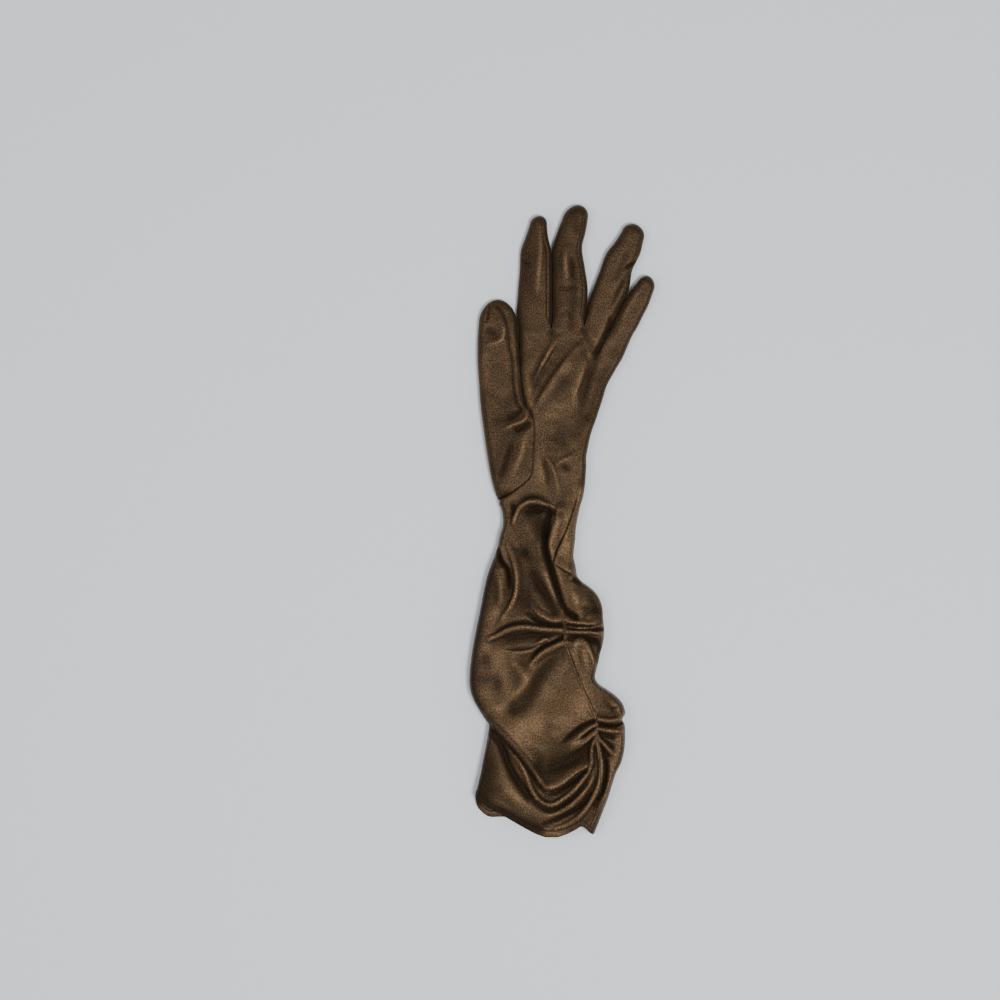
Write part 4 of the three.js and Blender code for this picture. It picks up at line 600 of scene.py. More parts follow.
def front_height(x, y):
    """The crown, less a quarter circle at each side, plus folds, wrinkles and swells that fade out at
    the sides, plus the grooves of the seams. Where the thumb is sewn on, the left side doesn't fall."""
    left, right, crown, level = left_side(y), right_side(y), crown_of(y), side_level(y)
    lap = thumb_seam_share(y)
    left_round = mix(LEFT_ROUND, HAND_LEFT_ROUND, smooth_step(y, WRIST_Y, CROTCH_Y))
    fall = (crown - mix(level, crown, lap)) * edge_fall(x - left, left_round)
    fall += (crown - level) * edge_fall(right - x, RIGHT_ROUND)
    from_side = np.minimum(x - left + LAP_REACH * lap, right - x)
    relief = all_folds(x, y)[0] + gather_wrinkles(x, y) + TIGHT_RISE * gather_welt(x, y) + swells(x, y)
    seam = seam_line(y)
    grooves = arm_seam_relief(x - seam, y) * smooth_step(right - seam, *SEAM_SHOWS)
    grooves += seam_groove(np.abs(x - left), y) * lap
    return crown - fall + relief * smooth_step(from_side, 0, FOLD_FADE) + grooves


def back_height(x, y, left):
    """The floor's level, plus a quarter circle at each side, plus low swells where the cloth lies flat."""
    level = side_level(y)
    rise = level * (1 - thumb_under_share(y)) * edge_fall(x - left, SOLE_ROUND)
    rise += level * edge_fall(right_side(y) - x, SOLE_ROUND)
    swell = SOLE_SWELL * (1 + value_noise(x, y, SOLE_SWELL_SIZE, seed=11))
    return rise + swell * smooth_step(rise, SOLE_SWELL_END, 0.0)


def plump(points, strength):
    """Moves a front's points downhill, by a part of the slope of the folds. Crests grow broader and
    valleys close up, as in cloth that bulges."""
    x, y = points[..., 0], points[..., 1]
    _, slope_x, slope_y = all_folds(x, y)
    from_side = np.minimum(x - left_side(y) + LAP_REACH * thumb_seam_share(y), right_side(y) - x)
    share = strength * smooth_step(from_side, PLUMP_START, PLUMP_FULL)
    moved = points.copy()
    moved[..., 0] -= share * np.clip(slope_x, -STEEPEST, STEEPEST)
    moved[..., 1] -= share * np.clip(slope_y, -STEEPEST, STEEPEST)
    return moved


print("on the long ridge the front is", front_height(*RIDGE_AND_HOLLOW.T).round(1)[0], "mm high")

# %% [markdown]
# ## The fingers
# A finger is a row of sections from its base to its tip. Each has a left and a right side in plan, the front
# is flat with rounded sides, and so is the back. Towards the tip the width and the height close like a
# circle, so the end is round. The index and middle fingers are turned a little, so their left sides are
# rounder and the strips at their right sides show on top.

# %% Sections of the fingers
# left x, left y, right x, right y of each section, from the base to the tip
INDEX = [(-28.0, 121.6, -6.8, 122.9), (-29.4, 135, -6.7, 135), (-28.7, 149, -6.6, 149),
         (-27.5, 163, -6.6, 163), (-26.9, 175, -6.9, 175), (-23.8, 184, -8.8, 184),
         (-21.2, 192, -9.6, 192), (-20.2, 198, -9.0, 198)]
MIDDLE = [(-6.8, 122.9, 14.3, 124.8), (-6.6, 135, 15.7, 135), (-6.5, 150, 16.8, 150),
          (-6.5, 163, 15.2, 163), (-6.5, 176, 13.2, 177), (-3.0, 188, 15.6, 188),
          (0.5, 197, 17.0, 197), (2.9, 205, 17.9, 205)]
RING = [(14.3, 124.8, 26.7, 116.4), (16.6, 140, 31.9, 125.7), (20.6, 152.5, 38.1, 139.2),
        (24.5, 163, 43.4, 150), (28.4, 173.4, 45.6, 162.5), (34.2, 181, 50.6, 173),
        (38.9, 188.5, 53.0, 182.5), (41.6, 195, 55.0, 189.6)]
LITTLE = [(26.7, 116.4, 40.3, 108.0), (32.1, 125.5, 45.4, 119.8), (35.4, 133.6, 48.8, 125.5),
          (39.3, 141.6, 52, 132), (44.4, 149.4, 55.8, 139.4), (48.2, 154.4, 58.4, 146.4),
          (50.6, 157.6, 60.1, 151.2), (52.7, 161.2, 61.7, 155.4)]
# inset: of the strip's seam on the front, left and right, 0 where there is no strip. round: of the front's
# left and right side. tip: length over which the end closes
FINGERS = [
    {"name": "index", "sections": np.array(INDEX), "inset": (0.0, 3.6), "round": (10.0, 2.6), "tip": 5.5},
    {"name": "middle", "sections": np.array(MIDDLE), "inset": (0.9, 3.6), "round": (9.0, 3.2), "tip": 8.0},
    {"name": "ring", "sections": np.array(RING), "inset": (0.9, 0.9), "round": (4.6, 5.0), "tip": 6.5},
    {"name": "little", "sections": np.array(LITTLE), "inset": (0.9, 0.0), "round": (4.6, 3.0), "tip": 5.5},
]
BACK_INSET = 0.6
BASE_BLEND = 11.0
BACK_ROUND_SHARE = 0.28
ROUND_SHARE_MAX = 0.45  # of the width, near the tip
NARROWEST = 0.01  # a width that closes to nothing is divided by this
FINGER_SWELL = 0.7  # share of the swells
STATIONS = 76
FINGER_COLUMNS = 22
TIP_CROWDING = 1.5  # sections lie closer together towards the tip

stations = 1 - (1 - np.linspace(0, 1, STATIONS)) ** TIP_CROWDING
print("index finger", round(float(INDEX[-1][1] - INDEX[0][1])), "mm long from its base to its tip")

# %% [markdown]
# ## The surface of a finger
# The front and the back of a finger are each a function of two shares: how far up the finger, and how far
# across it. A side strip takes up the part between the two seams, so the same function finds its edges.

# %% Faces of the fingers
def finger_sections(finger):
    """Sections between those of the table, on Catmull-Rom curves. Their width closes towards the tip by
    sqrt(1 - (1 - d/r)^2), d being the distance to the tip. Returns the left and right sides, the closing,
    how far the section is from the flat hand, from 0 to 1, and the width."""
    rows = finger["sections"]
    last = len(rows) - 1
    k = np.minimum((stations * last).astype(int), last - 1)
    s = (stations * last - k)[:, None]
    a, b, c, d = (rows[np.clip(k + step, 0, last)] for step in (-1, 0, 1, 2))
    place = between(a, b, c, d, s)
    left, right = place[:, :2], place[:, 2:]
    middle = (left + right) / 2
    tip, base = (rows[end].reshape(2, 2).mean(axis=0) for end in (-1, 0))
    to_tip = np.hypot(*(middle - tip).T)
    closing = np.sqrt(1 - (1 - np.clip(to_tip / finger["tip"], 0, 1)) ** 2)
    closing[-1] = 0
    free = smooth_step(np.hypot(*(middle - base).T), 0, BASE_BLEND)
    half = (right - left) / 2 * closing[:, None]
    left, right = middle - half, middle + half
    return left, right, closing, free, np.hypot(*(right - left).T)


CROTCHES = np.array([finger["sections"][0, :2] for finger in FINGERS[1:]])


def crotch_share(x, y):
    """1 where two fingers part, and a bell curve of the distance round it."""
    nearest = np.min([np.hypot(x - cx, y - cy) for cx, cy in CROTCHES], axis=0)
    return np.exp(-((nearest / CROTCH_SPREAD) ** 2))


def palm_height(x, y):
    """The front, drawn to one height where two fingers part."""
    return mix(front_height(x, y), CROTCH_TOP, crotch_share(x, y))


def sole_height(x, y):
    """The back, drawn to one height where two fingers part."""
    return mix(back_height(x, y, left_side(y)), CROTCH_BOTTOM, crotch_share(x, y))


def finger_surface(finger, share, face):
    """Points of one face of a finger, with a row for each station and shares of its width across it."""
    left, right, closing, free, width = finger_sections(finger)
    plan = mix(left[:, None, :], right[:, None, :], share[..., None])
    x, y = plan[..., 0], plan[..., 1]
    width, closing, free = width[:, None], closing[:, None], free[:, None]
    level, widest = side_level(y), np.maximum(width * ROUND_SHARE_MAX, NARROWEST)
    if face == "front":
        crown = level + (FINGER_CROWN - level) * closing
        rounds = [np.minimum(round_over, widest) for round_over in finger["round"]]
        fall = edge_fall(width * share, rounds[0]) + edge_fall(width * (1 - share), rounds[1])
        from_side = width * np.minimum(share, 1 - share)
        relief = all_folds(x, y)[0] + FINGER_SWELL * swells(x, y)
        relief = relief * smooth_step(from_side, 0, FOLD_FADE) * closing
        round_form, flat_form = crown - (crown - level) * fall + relief, palm_height(x, y)
    else:
        sole = level * (1 - closing)
        reach = np.maximum(width * BACK_ROUND_SHARE, NARROWEST)
        fall = edge_fall(width * np.minimum(share, 1 - share), reach)
        round_form, flat_form = sole + (level - sole) * fall, sole_height(x, y)
    return np.stack([x, y, mix(flat_form, round_form, free)], axis=-1)


def strip_inset(finger, side, face):
    """How far in from a side a strip's seam lies, as a share of the width. side is 0 left and 1 right."""
    _, _, closing, free, width = finger_sections(finger)
    inset = finger["inset"][side] * closing
    if face == "back":
        inset = BACK_INSET * (finger["inset"][side] > 0)
    return np.clip(inset * free * closing / np.maximum(width, 1e-6), 0, ROUND_SHARE_MAX)


def crowded(count):
    """Steps from 0 to 1 that are closer together at both ends, on half a cosine."""
    return (1 - np.cos(np.pi * np.linspace(0, 1, count))) / 2


def finger_face(finger, face, columns=FINGER_COLUMNS):
    """One face of a finger from seam to seam, with the groove of each seam."""
    left, right = (strip_inset(finger, side, face)[:, None] for side in (0, 1))
    share = mix(left, 1 - right, crowded(columns + 1))
    points = finger_surface(finger, share, face)
    _, _, closing, free, width = finger_sections(finger)
    if face == "front":
        shallow = (free * closing)[:, None]
        for inset, edge in zip(finger["inset"], (left, 1 - right)):
            distance = width[:, None] * np.abs(share - edge)
            points[..., 2] += seam_groove(distance, points[..., 1]) * shallow * (inset > 1)
    lift = SEAM_GAP / 2 if face == "front" else -SEAM_GAP / 2
    for column, inset in zip((0, -1), finger["inset"]):
        points[:-1, column, 2] += 0 if inset else lift
    points[-1, :, 2] += lift
    return points


print("widest part of the middle finger", round(float(finger_sections(FINGERS[1])[-1].max()), 1), "mm")

# %% [markdown]
# ## Grids of points
# Every piece is one or more grids of points. The UV map is the length along the rows and columns in
# millimetres, so the knit keeps its scale wherever the cloth bends.

# %% Lengths and faces of a grid
def grid_lengths(points):
    """Length of cloth across and along a grid: the sums of the steps between its points. Across is
    counted from the middle column, and along is the mean over the columns."""
    across = np.linalg.norm(np.diff(points, axis=1), axis=2)
    u = np.concatenate([np.zeros((len(points), 1)), np.cumsum(across, axis=1)], axis=1)
    u -= u[:, [points.shape[1] // 2]]
    along = np.linalg.norm(np.diff(points, axis=0), axis=2).mean(axis=1)
    v = np.concatenate([[0], np.cumsum(along)])
    return np.stack(np.broadcast_arrays(u, v[:, None]), axis=-1)


def grid_faces(rows, columns, start, outside):
    """Corners of a grid's faces. outside is 1 where rows run up and columns run right on the front."""
    i, j = np.meshgrid(np.arange(rows - 1), np.arange(columns - 1), indexing="ij")
    corner = (start + i * columns + j).ravel()
    faces = np.stack([corner, corner + 1, corner + columns + 1, corner + columns], axis=1)
    return faces if outside > 0 else faces[:, ::-1]


print("a grid of 3 by 4 points has", len(grid_faces(3, 4, 0, 1)), "faces")

# %% [markdown]
# ## From grids to pieces
# Grids that share a line of points are welded, faces that have shrunk to nothing are removed, and Solidify
# gives the cloth its thickness on the inner side. The crest number of painted highlight and shade goes onto
# the points as an attribute.

# %% Making a mesh
WELD = 0.004  # millimetres
CREST_LEVELS = (4.0, 6.5)  # the folds are on the front, above these heights
MAX_TRIANGLES = 200_000


def make_mesh(name, grids):
    """A mesh of several grids, each a pair of points and outside, welded where they meet."""
    points = np.concatenate([grid.reshape(-1, 3) for grid, _ in grids])
    lengths = np.concatenate([grid_lengths(grid).reshape(-1, 2) for grid, _ in grids])
    starts = np.cumsum([0] + [grid.shape[0] * grid.shape[1] for grid, _ in grids])
    faces = np.concatenate([grid_faces(*grid.shape[:2], start, outside)
                            for (grid, outside), start in zip(grids, starts)])
    mesh = bpy.data.meshes.new(name)
    mesh.from_pydata((points * MM).tolist(), [], faces.tolist())
    # painted light and shade: crests lightened, hollows darkened, fading out below these heights
    crest = painted_light_of(points[:, 0], points[:, 1]) * smooth_step(points[:, 2], *CREST_LEVELS)
    mesh.attributes.new("crest", "FLOAT", "POINT").data.foreach_set("value", crest.astype(np.float32))
    layer = mesh.uv_layers.new(name="cloth")
    corners = np.empty(len(mesh.loops), dtype=np.int32)
    mesh.loops.foreach_get("vertex_index", corners)
    layer.data.foreach_set("uv", lengths[corners].astype(np.float32).ravel())
    shell = bmesh.new()
    shell.from_mesh(mesh)
    bmesh.ops.remove_doubles(shell, verts=shell.verts, dist=WELD * MM)
    bmesh.ops.dissolve_degenerate(shell, edges=shell.edges, dist=WELD * MM)
    shell.to_mesh(mesh)
    shell.free()
    mesh.validate()
    mesh.polygons.foreach_set("use_smooth", np.ones(len(mesh.polygons), dtype=bool))
    return mesh


def make_piece(name, grids, wall=0.0):
    """The object of a mesh. A wall above 0 thickens it inwards with Solidify."""
    piece = bpy.data.objects.new(name, make_mesh(name, grids))
    bpy.context.scene.collection.objects.link(piece)
    if wall:
        thickness = piece.modifiers.new("wall", "SOLIDIFY")
        thickness.thickness = wall * MM
        thickness.offset = -1
        thickness.use_even_offset = False
    triangles = sum(len(face.vertices) - 2 for face in piece.data.polygons) * (2 if wall else 1)
    print(name, "has about", triangles, "triangles")
    assert triangles < MAX_TRIANGLES
    return piece


# %% [markdown]
# ## Rows and columns of the hand and arm
# The panels are cut from the hem to the finger bases, so their rows follow the curved hem at the bottom and
# the slanted finger bases at the top. They lie close together where the folds are fine, at the two gathers.

# %% Rows and columns
# from y, to y, step between rows
ROW_BANDS = [(HEM_Y + HEM_WIDTH + SEAM_GAP, -165, 0.85), (-165, -126, 0.56), (-126, -91, 1.0),
             (-91, -57, 0.5), (-57, WRIST_Y, 0.7), (WRIST_Y, KNUCKLE_Y, 1.2)]
PLUMP_SHARE = 0.34
BUNCHING = 0.06  # how far columns move to the sides, as a share of the width
SETTLE_STEPS = 6
KNUCKLE_DROP = LITTLE[0][3] - KNUCKLE_Y  # the little finger's base lies lower than the index finger's
BACK_COLUMNS = 10  # for each finger
WRAP_COLUMNS = 32
WRAP_CROWDING = 1.3
SLIP = 6.5  # how far the back has slipped down at the left of the hem
SLIP_SIDE, SLIP_LEVELS, SLIP_ROWS = (-33, -49), (7.0, 1.0), (-140, -176)  # from none to full, on x, z and y
SIDE_SEAM_REACH = 0.6  # closer than this to the side, the seam opens up and down, not sideways

panel_rows = np.concatenate([np.linspace(low, high, int(np.ceil((high - low) / step)), endpoint=False)
                             for low, high, step in ROW_BANDS] + [[KNUCKLE_Y]])


def hem_share(rows):
    """How much a row follows the hem's curve: 1 at the hem, falling in a smooth step to 0."""
    return 1 - smooth_step(rows, HEM_Y, HEM_Y + HEM_BEND_REACH)


def knuckle_share(rows):
    """How much a row follows the slanted finger bases: 0 on the lower palm, and 1 at the bases, rising
    with the square of the distance."""
    return np.clip((rows - KNUCKLE_BEND_Y) / (KNUCKLE_Y - KNUCKLE_BEND_Y), 0, 1) ** 2


def bent(rows, x):
    """y of a row at x: its own y plus a part of the hem's curve."""
    return rows + (hem_line(x) - HEM_Y) * hem_share(rows)


def settle(edge, rows, drop=0.0):
    """x where rows cross an edge: looked up at the row's y there, again and again until it stays."""
    x = edge(rows)
    for _ in range(SETTLE_STEPS):
        x = edge(bent(rows, x) + drop * knuckle_share(rows))
    return x


def knuckle_columns(columns):
    """Columns at the finger bases: their shares of the hand's width, and how far they lie below the
    first."""
    step = crowded(columns + 1)[:-1, None]
    bases = [finger["sections"][0] for finger in FINGERS]
    places = np.concatenate([mix(base[:2], base[2:], step) for base in bases] + [bases[-1][None, 2:]])
    share = (places[:, 0] - places[0, 0]) / (places[-1, 0] - places[0, 0])
    return share, places[:, 1] - KNUCKLE_Y


def across(rows, start, end, columns):
    """x and y of a panel's points: even columns that lie a little closer at both sides, and turn into the
    finger bases' columns towards the top."""
    share, drop = knuckle_columns(columns)
    even = np.linspace(0, 1, len(share))
    even = even - BUNCHING * np.sin(2 * np.pi * even)
    upper = knuckle_share(rows)[:, None]
    x = mix(start[:, None], end[:, None], mix(even, share, upper))
    return x, bent(rows[:, None], x) + drop * upper


def slipped(points):
    """The back layer slips down near the hem at the left: a shift along y, in full on the floor and none on
    top, that fades upwards from the hem."""
    x, y, z = np.moveaxis(points, -1, 0)
    share = smooth_step(x, *SLIP_SIDE) * smooth_step(z, *SLIP_LEVELS) * smooth_step(y, *SLIP_ROWS)
    moved = points.copy()
    moved[..., 1] -= SLIP * share
    return moved


rows_left, rows_seam = settle(left_side, panel_rows), settle(seam_line, panel_rows, KNUCKLE_DROP)
rows_right = settle(right_side, panel_rows, KNUCKLE_DROP)
seam_at_side = 1 - smooth_step(rows_right - rows_seam, 0, SIDE_SEAM_REACH)
print(len(panel_rows), "rows from the hem to the finger bases")

# %% [markdown]
# ## The palm panel
# The front of the fingers, the palm and the front of the arm are one piece of cloth, as on the real glove.
# Its left side turns down to the floor beside the arm, and becomes the U-shaped thumb seam on the hand.

# %% Palm panel
CALM_ROWS = (KNUCKLE_Y - 18, KNUCKLE_Y - 2)  # over which the bulging ends towards the fingers


def palm_grid():
    """From the left side, or the thumb seam, to the arm seam: rows and columns lifted to the front."""
    x, y = across(panel_rows, rows_left, rows_seam - SEAM_GAP / 2 * (1 - seam_at_side), FINGER_COLUMNS)
    calm = 1 - smooth_step(panel_rows, *CALM_ROWS)
    points = plump(np.stack([x, y, palm_height(x, y)], axis=-1), PLUMP_SHARE * calm[:, None])
    lap = thumb_seam_share(panel_rows)
    points[:, 0, 2] += SEAM_GAP / 2 * (1 - lap)
    points[:, -1, 2] += SEAM_GAP / 2 * seam_at_side
    return slipped(points)


fronts = [(finger_face(finger, "front"), 1) for finger in FINGERS]
palm_panel = make_piece("palm_panel_cloth", [(palm_grid(), 1)] + fronts, CLOTH_WALL)

# %% [markdown]
# ## The back panel
# The back lies on the floor and shows at the right of the arm, where it wraps round to the seam. It is made
# of a grid across the floor and one that wraps onto the front, welded along the right side.

# %% Back panel
# y and x of the line where the thumb joins the back, on the floor
THUMB_UNDER = np.array([(13.7, -41.1), (18.5, -40.0), (27.5, -38.2), (41, -34.4), (57, -29.6), (70, -25.2),
                        (73.5, -23.4)])


def under_line(y):
    """Where the thumb joins the back, below the part that lies on the floor."""
    sewn = smooth_column(THUMB_UNDER[:, 0], THUMB_UNDER[:, 1], y)
    return np.where((y > WRIST_Y) & (y < CROTCH_Y), sewn, left_side(y))


def back_grid():
    """Across the floor from the left side to the right side, with the fingers' columns at the top."""
    start = settle(under_line, panel_rows)
    x, y = across(panel_rows, start + SEAM_GAP / 2 * thumb_under_share(panel_rows), rows_right, BACK_COLUMNS)
    height = mix(back_height(x, y, start[:, None]), CROTCH_BOTTOM, crotch_share(x, y))
    points = np.stack([x, y, height], axis=-1)
    points[:, 0, 2] -= SEAM_GAP / 2 * (1 - thumb_under_share(panel_rows))
    points[:, -1, 2] -= SEAM_GAP / 2 * seam_at_side
    return slipped(points)


def wrap_grid(edge):
    """From the last column of the back round the right side to the arm seam. Columns lie closer together
    at the side."""
    low = panel_rows <= SEAM_TOP_Y
    rows, side = panel_rows[low], rows_right[low]
    gap = np.minimum(SEAM_GAP / 2, (side - rows_seam[low]) / 3)
    share = np.linspace(0, 1, WRAP_COLUMNS + 1) ** WRAP_CROWDING
    x = mix(side[:, None], (rows_seam[low] + gap)[:, None], share)
    y = bent(rows[:, None], x)
    points = plump(np.stack([x, y, front_height(x, y)], axis=-1), PLUMP_SHARE)
    points[:, 0] = edge[low]
    return points


sole = back_grid()
backs = [(finger_face(finger, "back", BACK_COLUMNS), -1) for finger in FINGERS]
back_panel = make_piece("back_panel_cloth", [(sole, -1), (wrap_grid(sole[:, -1]), -1)] + backs, CLOTH_WALL)

# %% [markdown]
# ## The strips between the fingers
# A fourchette is one narrow strip, folded at the crotch. It runs up the side of one finger and down the side
# of the next. Here it follows the round of each finger from the front seam to the back seam.

# %% Side strips
STRIP_COLUMNS = 12
FRONT_PART = 0.7  # share of a strip's columns that lie on the front of the finger


def strip_side(finger, side):
    """Points of a strip along one finger, from its front seam to its back seam. Its form is a mix of a
    straight line between the seams, at the crotch, and of the finger's own round further on."""
    _, _, _, free, width = finger_sections(finger)
    gap = np.where(width > 1, SEAM_GAP / np.maximum(width, 1), 0)
    front, back = (np.maximum(strip_inset(finger, side, face) - gap, 0) for face in ("front", "back"))
    part = np.linspace(0, 1, STRIP_COLUMNS + 1)
    on_front = np.clip(1 - part / FRONT_PART, 0, 1) * front[:, None]
    on_back = np.clip((part - FRONT_PART) / (1 - FRONT_PART), 0, 1) * back[:, None]
    if side:
        on_front, on_back = 1 - on_front, 1 - on_back
    top = finger_surface(finger, on_front, "front")
    bottom = finger_surface(finger, on_back, "back")
    follows = np.where((part < FRONT_PART)[:, None], top, bottom)
    straight = mix(top[:, :1], bottom[:, -1:], part[:, None])
    return mix(straight, follows, free[:, None, None])


def strip(first, second):
    """Along the right side of one finger to the crotch, and on along the left side of the next."""
    up, down = strip_side(first, 1), strip_side(second, 0)
    return np.concatenate([up[::-1], down[1:]])


strips = []
for first, second in zip(FINGERS[:-1], FINGERS[1:]):
    strip_name = f"fourchette_{first['name']}_{second['name']}_cloth"
    strips.append(make_piece(strip_name, [(strip(first, second), -1)], CLOTH_WALL))

# %% [markdown]
# ## The thumb
# The thumb is one folded piece. Above the crotch its sections are closed loops, and below it they are open
# towards the palm, where the U-shaped seam joins it to the panels.

# %% Thumb
# y, left side, right side, crown
THUMB_SECTIONS = np.array([
    (13.7, -41.4, -40.5, 5.2), (18.5, -43.5, -32.3, 9.8), (27.5, -45.9, -21.4, 11.0),
    (41, -48.4, -18.9, 11.0), (57, -50.7, -18.2, 10.8), (70, -52.4, -20.0, 10.4),
    (73.5, -52.8, -23.0, 10.2), (80, -53.4, -25.1, 9.8), (90, -54.0, -26.6, 9.4),
    (104, -54.9, -27.6, 9.2), (118, -54.8, -28.2, 9.0), (130, -54.0, -29.3, 8.8),
    (143.6, -52.8, -30.4, 8.2)])
THUMB_LEFT_ROUND, THUMB_RIGHT_ROUND = 4.5, 3.2
THUMB_TIP_Y, THUMB_TIP_X = 143.6, -41.6
THUMB_PLAN_ROUND, THUMB_HEIGHT_ROUND = 14.0, 9.0
THUMB_ROWS, THUMB_COLUMNS = 150, 34
THUMB_START = 0.15  # how far above the wrist the first row lies
THUMB_SWELL = 0.8  # share of the swells


def quarter_round(distance, reach):
    """0 at the tip and 1 from the end of the round on, like a quarter of a circle."""
    return np.sqrt(1 - (1 - np.clip(distance / reach, 0, 1)) ** 2)


def thumb_outline(rows):
    """Left side, right side, the line where it joins the back, and the crown of each row. Below the
    crotch the right side is the thumb seam, and towards the tip the sides close in a quarter circle."""
    left, right, crown = (smooth_column(THUMB_SECTIONS[:, 0], THUMB_SECTIONS[:, k], rows) for k in (1, 2, 3))
    sewn = rows < CROTCH_Y
    right = np.where(sewn, left_side(rows) - SEAM_GAP / 2, right)
    end = np.where(sewn, np.minimum(under_line(rows) - SEAM_GAP / 2, right), right)
    plan = quarter_round(THUMB_TIP_Y - rows, THUMB_PLAN_ROUND)
    left, right, end = (THUMB_TIP_X + (side - THUMB_TIP_X) * plan for side in (left, right, end))
    return left, right, end, crown


def thumb_grid():
    """Rows from the wrist to the tip. Each runs over the front from the right to the left side, and back
    underneath to the seam below."""
    step = np.linspace(0, 1, THUMB_ROWS)
    rows = mix(WRIST_Y + THUMB_START, THUMB_TIP_Y, mix(step, 1 - (1 - step) ** 2, step))[:, None]
    left, right, end, crown = thumb_outline(rows)
    lap, level = thumb_seam_share(rows), side_level(rows)
    close = quarter_round(THUMB_TIP_Y - rows, THUMB_HEIGHT_ROUND)
    share = crowded(THUMB_COLUMNS + 1)
    x = mix(right, left, share)
    y = rows + 0 * x
    widest = np.maximum((right - left) * ROUND_SHARE_MAX, NARROWEST)
    left_round, right_round = np.minimum(THUMB_LEFT_ROUND, widest), np.minimum(THUMB_RIGHT_ROUND, widest)
    fall = (crown - level) * edge_fall(x - left, left_round)
    fall += (crown - mix(level, crown, lap)) * edge_fall(right - x, right_round)
    from_side = np.minimum(x - left, right - x + LAP_REACH * lap)
    relief = all_folds(x, y)[0] + THUMB_SWELL * swells(x, y)
    height = crown - fall + relief * smooth_step(from_side, 0, FOLD_FADE) + seam_groove(right - x, y) * lap
    front = np.stack([x, y, mix(level, height, close)], axis=-1)
    x = mix(left, end, share)[:, 1:]
    inner = (1 - thumb_under_share(rows)) * edge_fall(end - x, SOLE_ROUND)
    rise = np.minimum(level * (edge_fall(x - left, SOLE_ROUND) + inner), level)
    back = np.stack([x, rows + 0 * x, mix(level, rise, close)], axis=-1)
    return np.concatenate([front, back], axis=1)


thumb = make_piece("thumb_cloth", [(thumb_grid(), -1)], CLOTH_WALL)

# %% [markdown]
# ## The hem
# The lower end of both panels is turned in and sewn, which makes a ring of double cloth about 4 mm wide. Its
# section is a rounded bar, carried round the mouth.

# %% Hem
HEM_SECTION_POINTS = 28
HEM_PROUD = 0.02
HEM_INNER_POWER, HEM_OUTER_POWER = 40.0, 2.8  # of the superellipse, beside the panels and at the free end
HEM_COLUMNS = 150


def hem_line_points(row_y):
    """One closed line round the mouth at a row: the front from left to right, then the back."""
    rows = np.array([row_y])
    left, right = settle(left_side, rows)[0], settle(right_side, rows)[0]
    front_x = mix(left, right, crowded(HEM_COLUMNS + 1))
    back_x = mix(right, left, crowded(HEM_COLUMNS + 1))[1:-1]
    front_y, back_y = bent(row_y, front_x), bent(row_y, back_x)
    front = np.stack([front_x, front_y, front_height(front_x, front_y)], axis=-1)
    front = plump(front, PLUMP_SHARE)
    back = np.stack([back_x, back_y, back_height(back_x, back_y, left)], axis=-1)
    return slipped(np.concatenate([front, back]))


def hem_grid():
    """A superellipse of the hem's width and wall, squarer beside the panels. Its top lies on the panels'
    surface, and its depth points along the cross product of the two directions of the surface."""
    low, high = hem_line_points(HEM_Y), hem_line_points(HEM_Y + HEM_WIDTH)
    along = (high - low) / HEM_WIDTH
    middle = (low + high) / 2
    around = np.roll(middle, -1, axis=0) - np.roll(middle, 1, axis=0)
    outward = np.cross(around, along)
    outward /= np.linalg.norm(outward, axis=1, keepdims=True)
    angle = np.linspace(0, 2 * np.pi, HEM_SECTION_POINTS + 1)
    power = 2 / np.where(np.cos(angle) > 0, HEM_INNER_POWER, HEM_OUTER_POWER)
    place = HEM_WIDTH / 2 * np.sign(np.cos(angle)) * np.abs(np.cos(angle)) ** power
    half = HEM_WALL / 2
    depth = HEM_PROUD - half + half * np.sign(np.sin(angle)) * np.abs(np.sin(angle)) ** power
    ring = middle[None] + along[None] * place[:, None, None] + outward[None] * depth[:, None, None]
    return np.concatenate([ring, ring[:, :1]], axis=1)


hem_band = make_piece("hem_band_cloth", [(hem_grid(), 1)])

# %% [markdown]
# ## Floor
# The floor is one large square, plain and pale, just under the glove. It belongs to the stage and not to the
# glove.

# %% Floor
STAGE_HALF, STAGE_LEVEL = 3.0, -0.0003  # metres
FLOOR_COLOUR, FLOOR_ROUGHNESS = (0.72, 0.74, 0.76, 1), 0.85

floor_mesh = bpy.data.meshes.new("floor")
sides = [(-1, -1), (1, -1), (1, 1), (-1, 1)]
corners = [(sx * STAGE_HALF, sy * STAGE_HALF, STAGE_LEVEL) for sx, sy in sides]
floor_mesh.from_pydata(corners, [], [(0, 1, 2, 3)])
floor = bpy.data.objects.new("floor", floor_mesh)
bpy.context.scene.collection.objects.link(floor)
floor_paint = bpy.data.materials.new("floor_paint")
floor_paint.use_nodes = True
floor_shader = floor_paint.node_tree.nodes["Principled BSDF"]
floor_shader.inputs["Base Color"].default_value = FLOOR_COLOUR
floor_shader.inputs["Roughness"].default_value = FLOOR_ROUGHNESS
floor.data.materials.append(floor_paint)
print("the floor is", 2 * STAGE_HALF, "m wide")

# %% [markdown]
# ## Light
# The photo was taken from straight above with soft light near the camera, so crests are bright and slopes
# are dark. Two round lamps stand for it, a main one at the lower right of the camera and a broad weak one at
# its left. Satin shines where it mirrors a lamp, so one straight overhead would wash out the flat parts.

# %% Lamps and room
# name, place and size in metres, watts
LAMPS = [("main_light", (0.5, -0.4, 2.05), 0.5, 40), ("second_light", (-0.9, 0.0, 1.8), 0.9, 10)]
ROOM_COLOUR, ROOM_LIGHT = (0.92, 0.95, 1.0, 1), 0.5

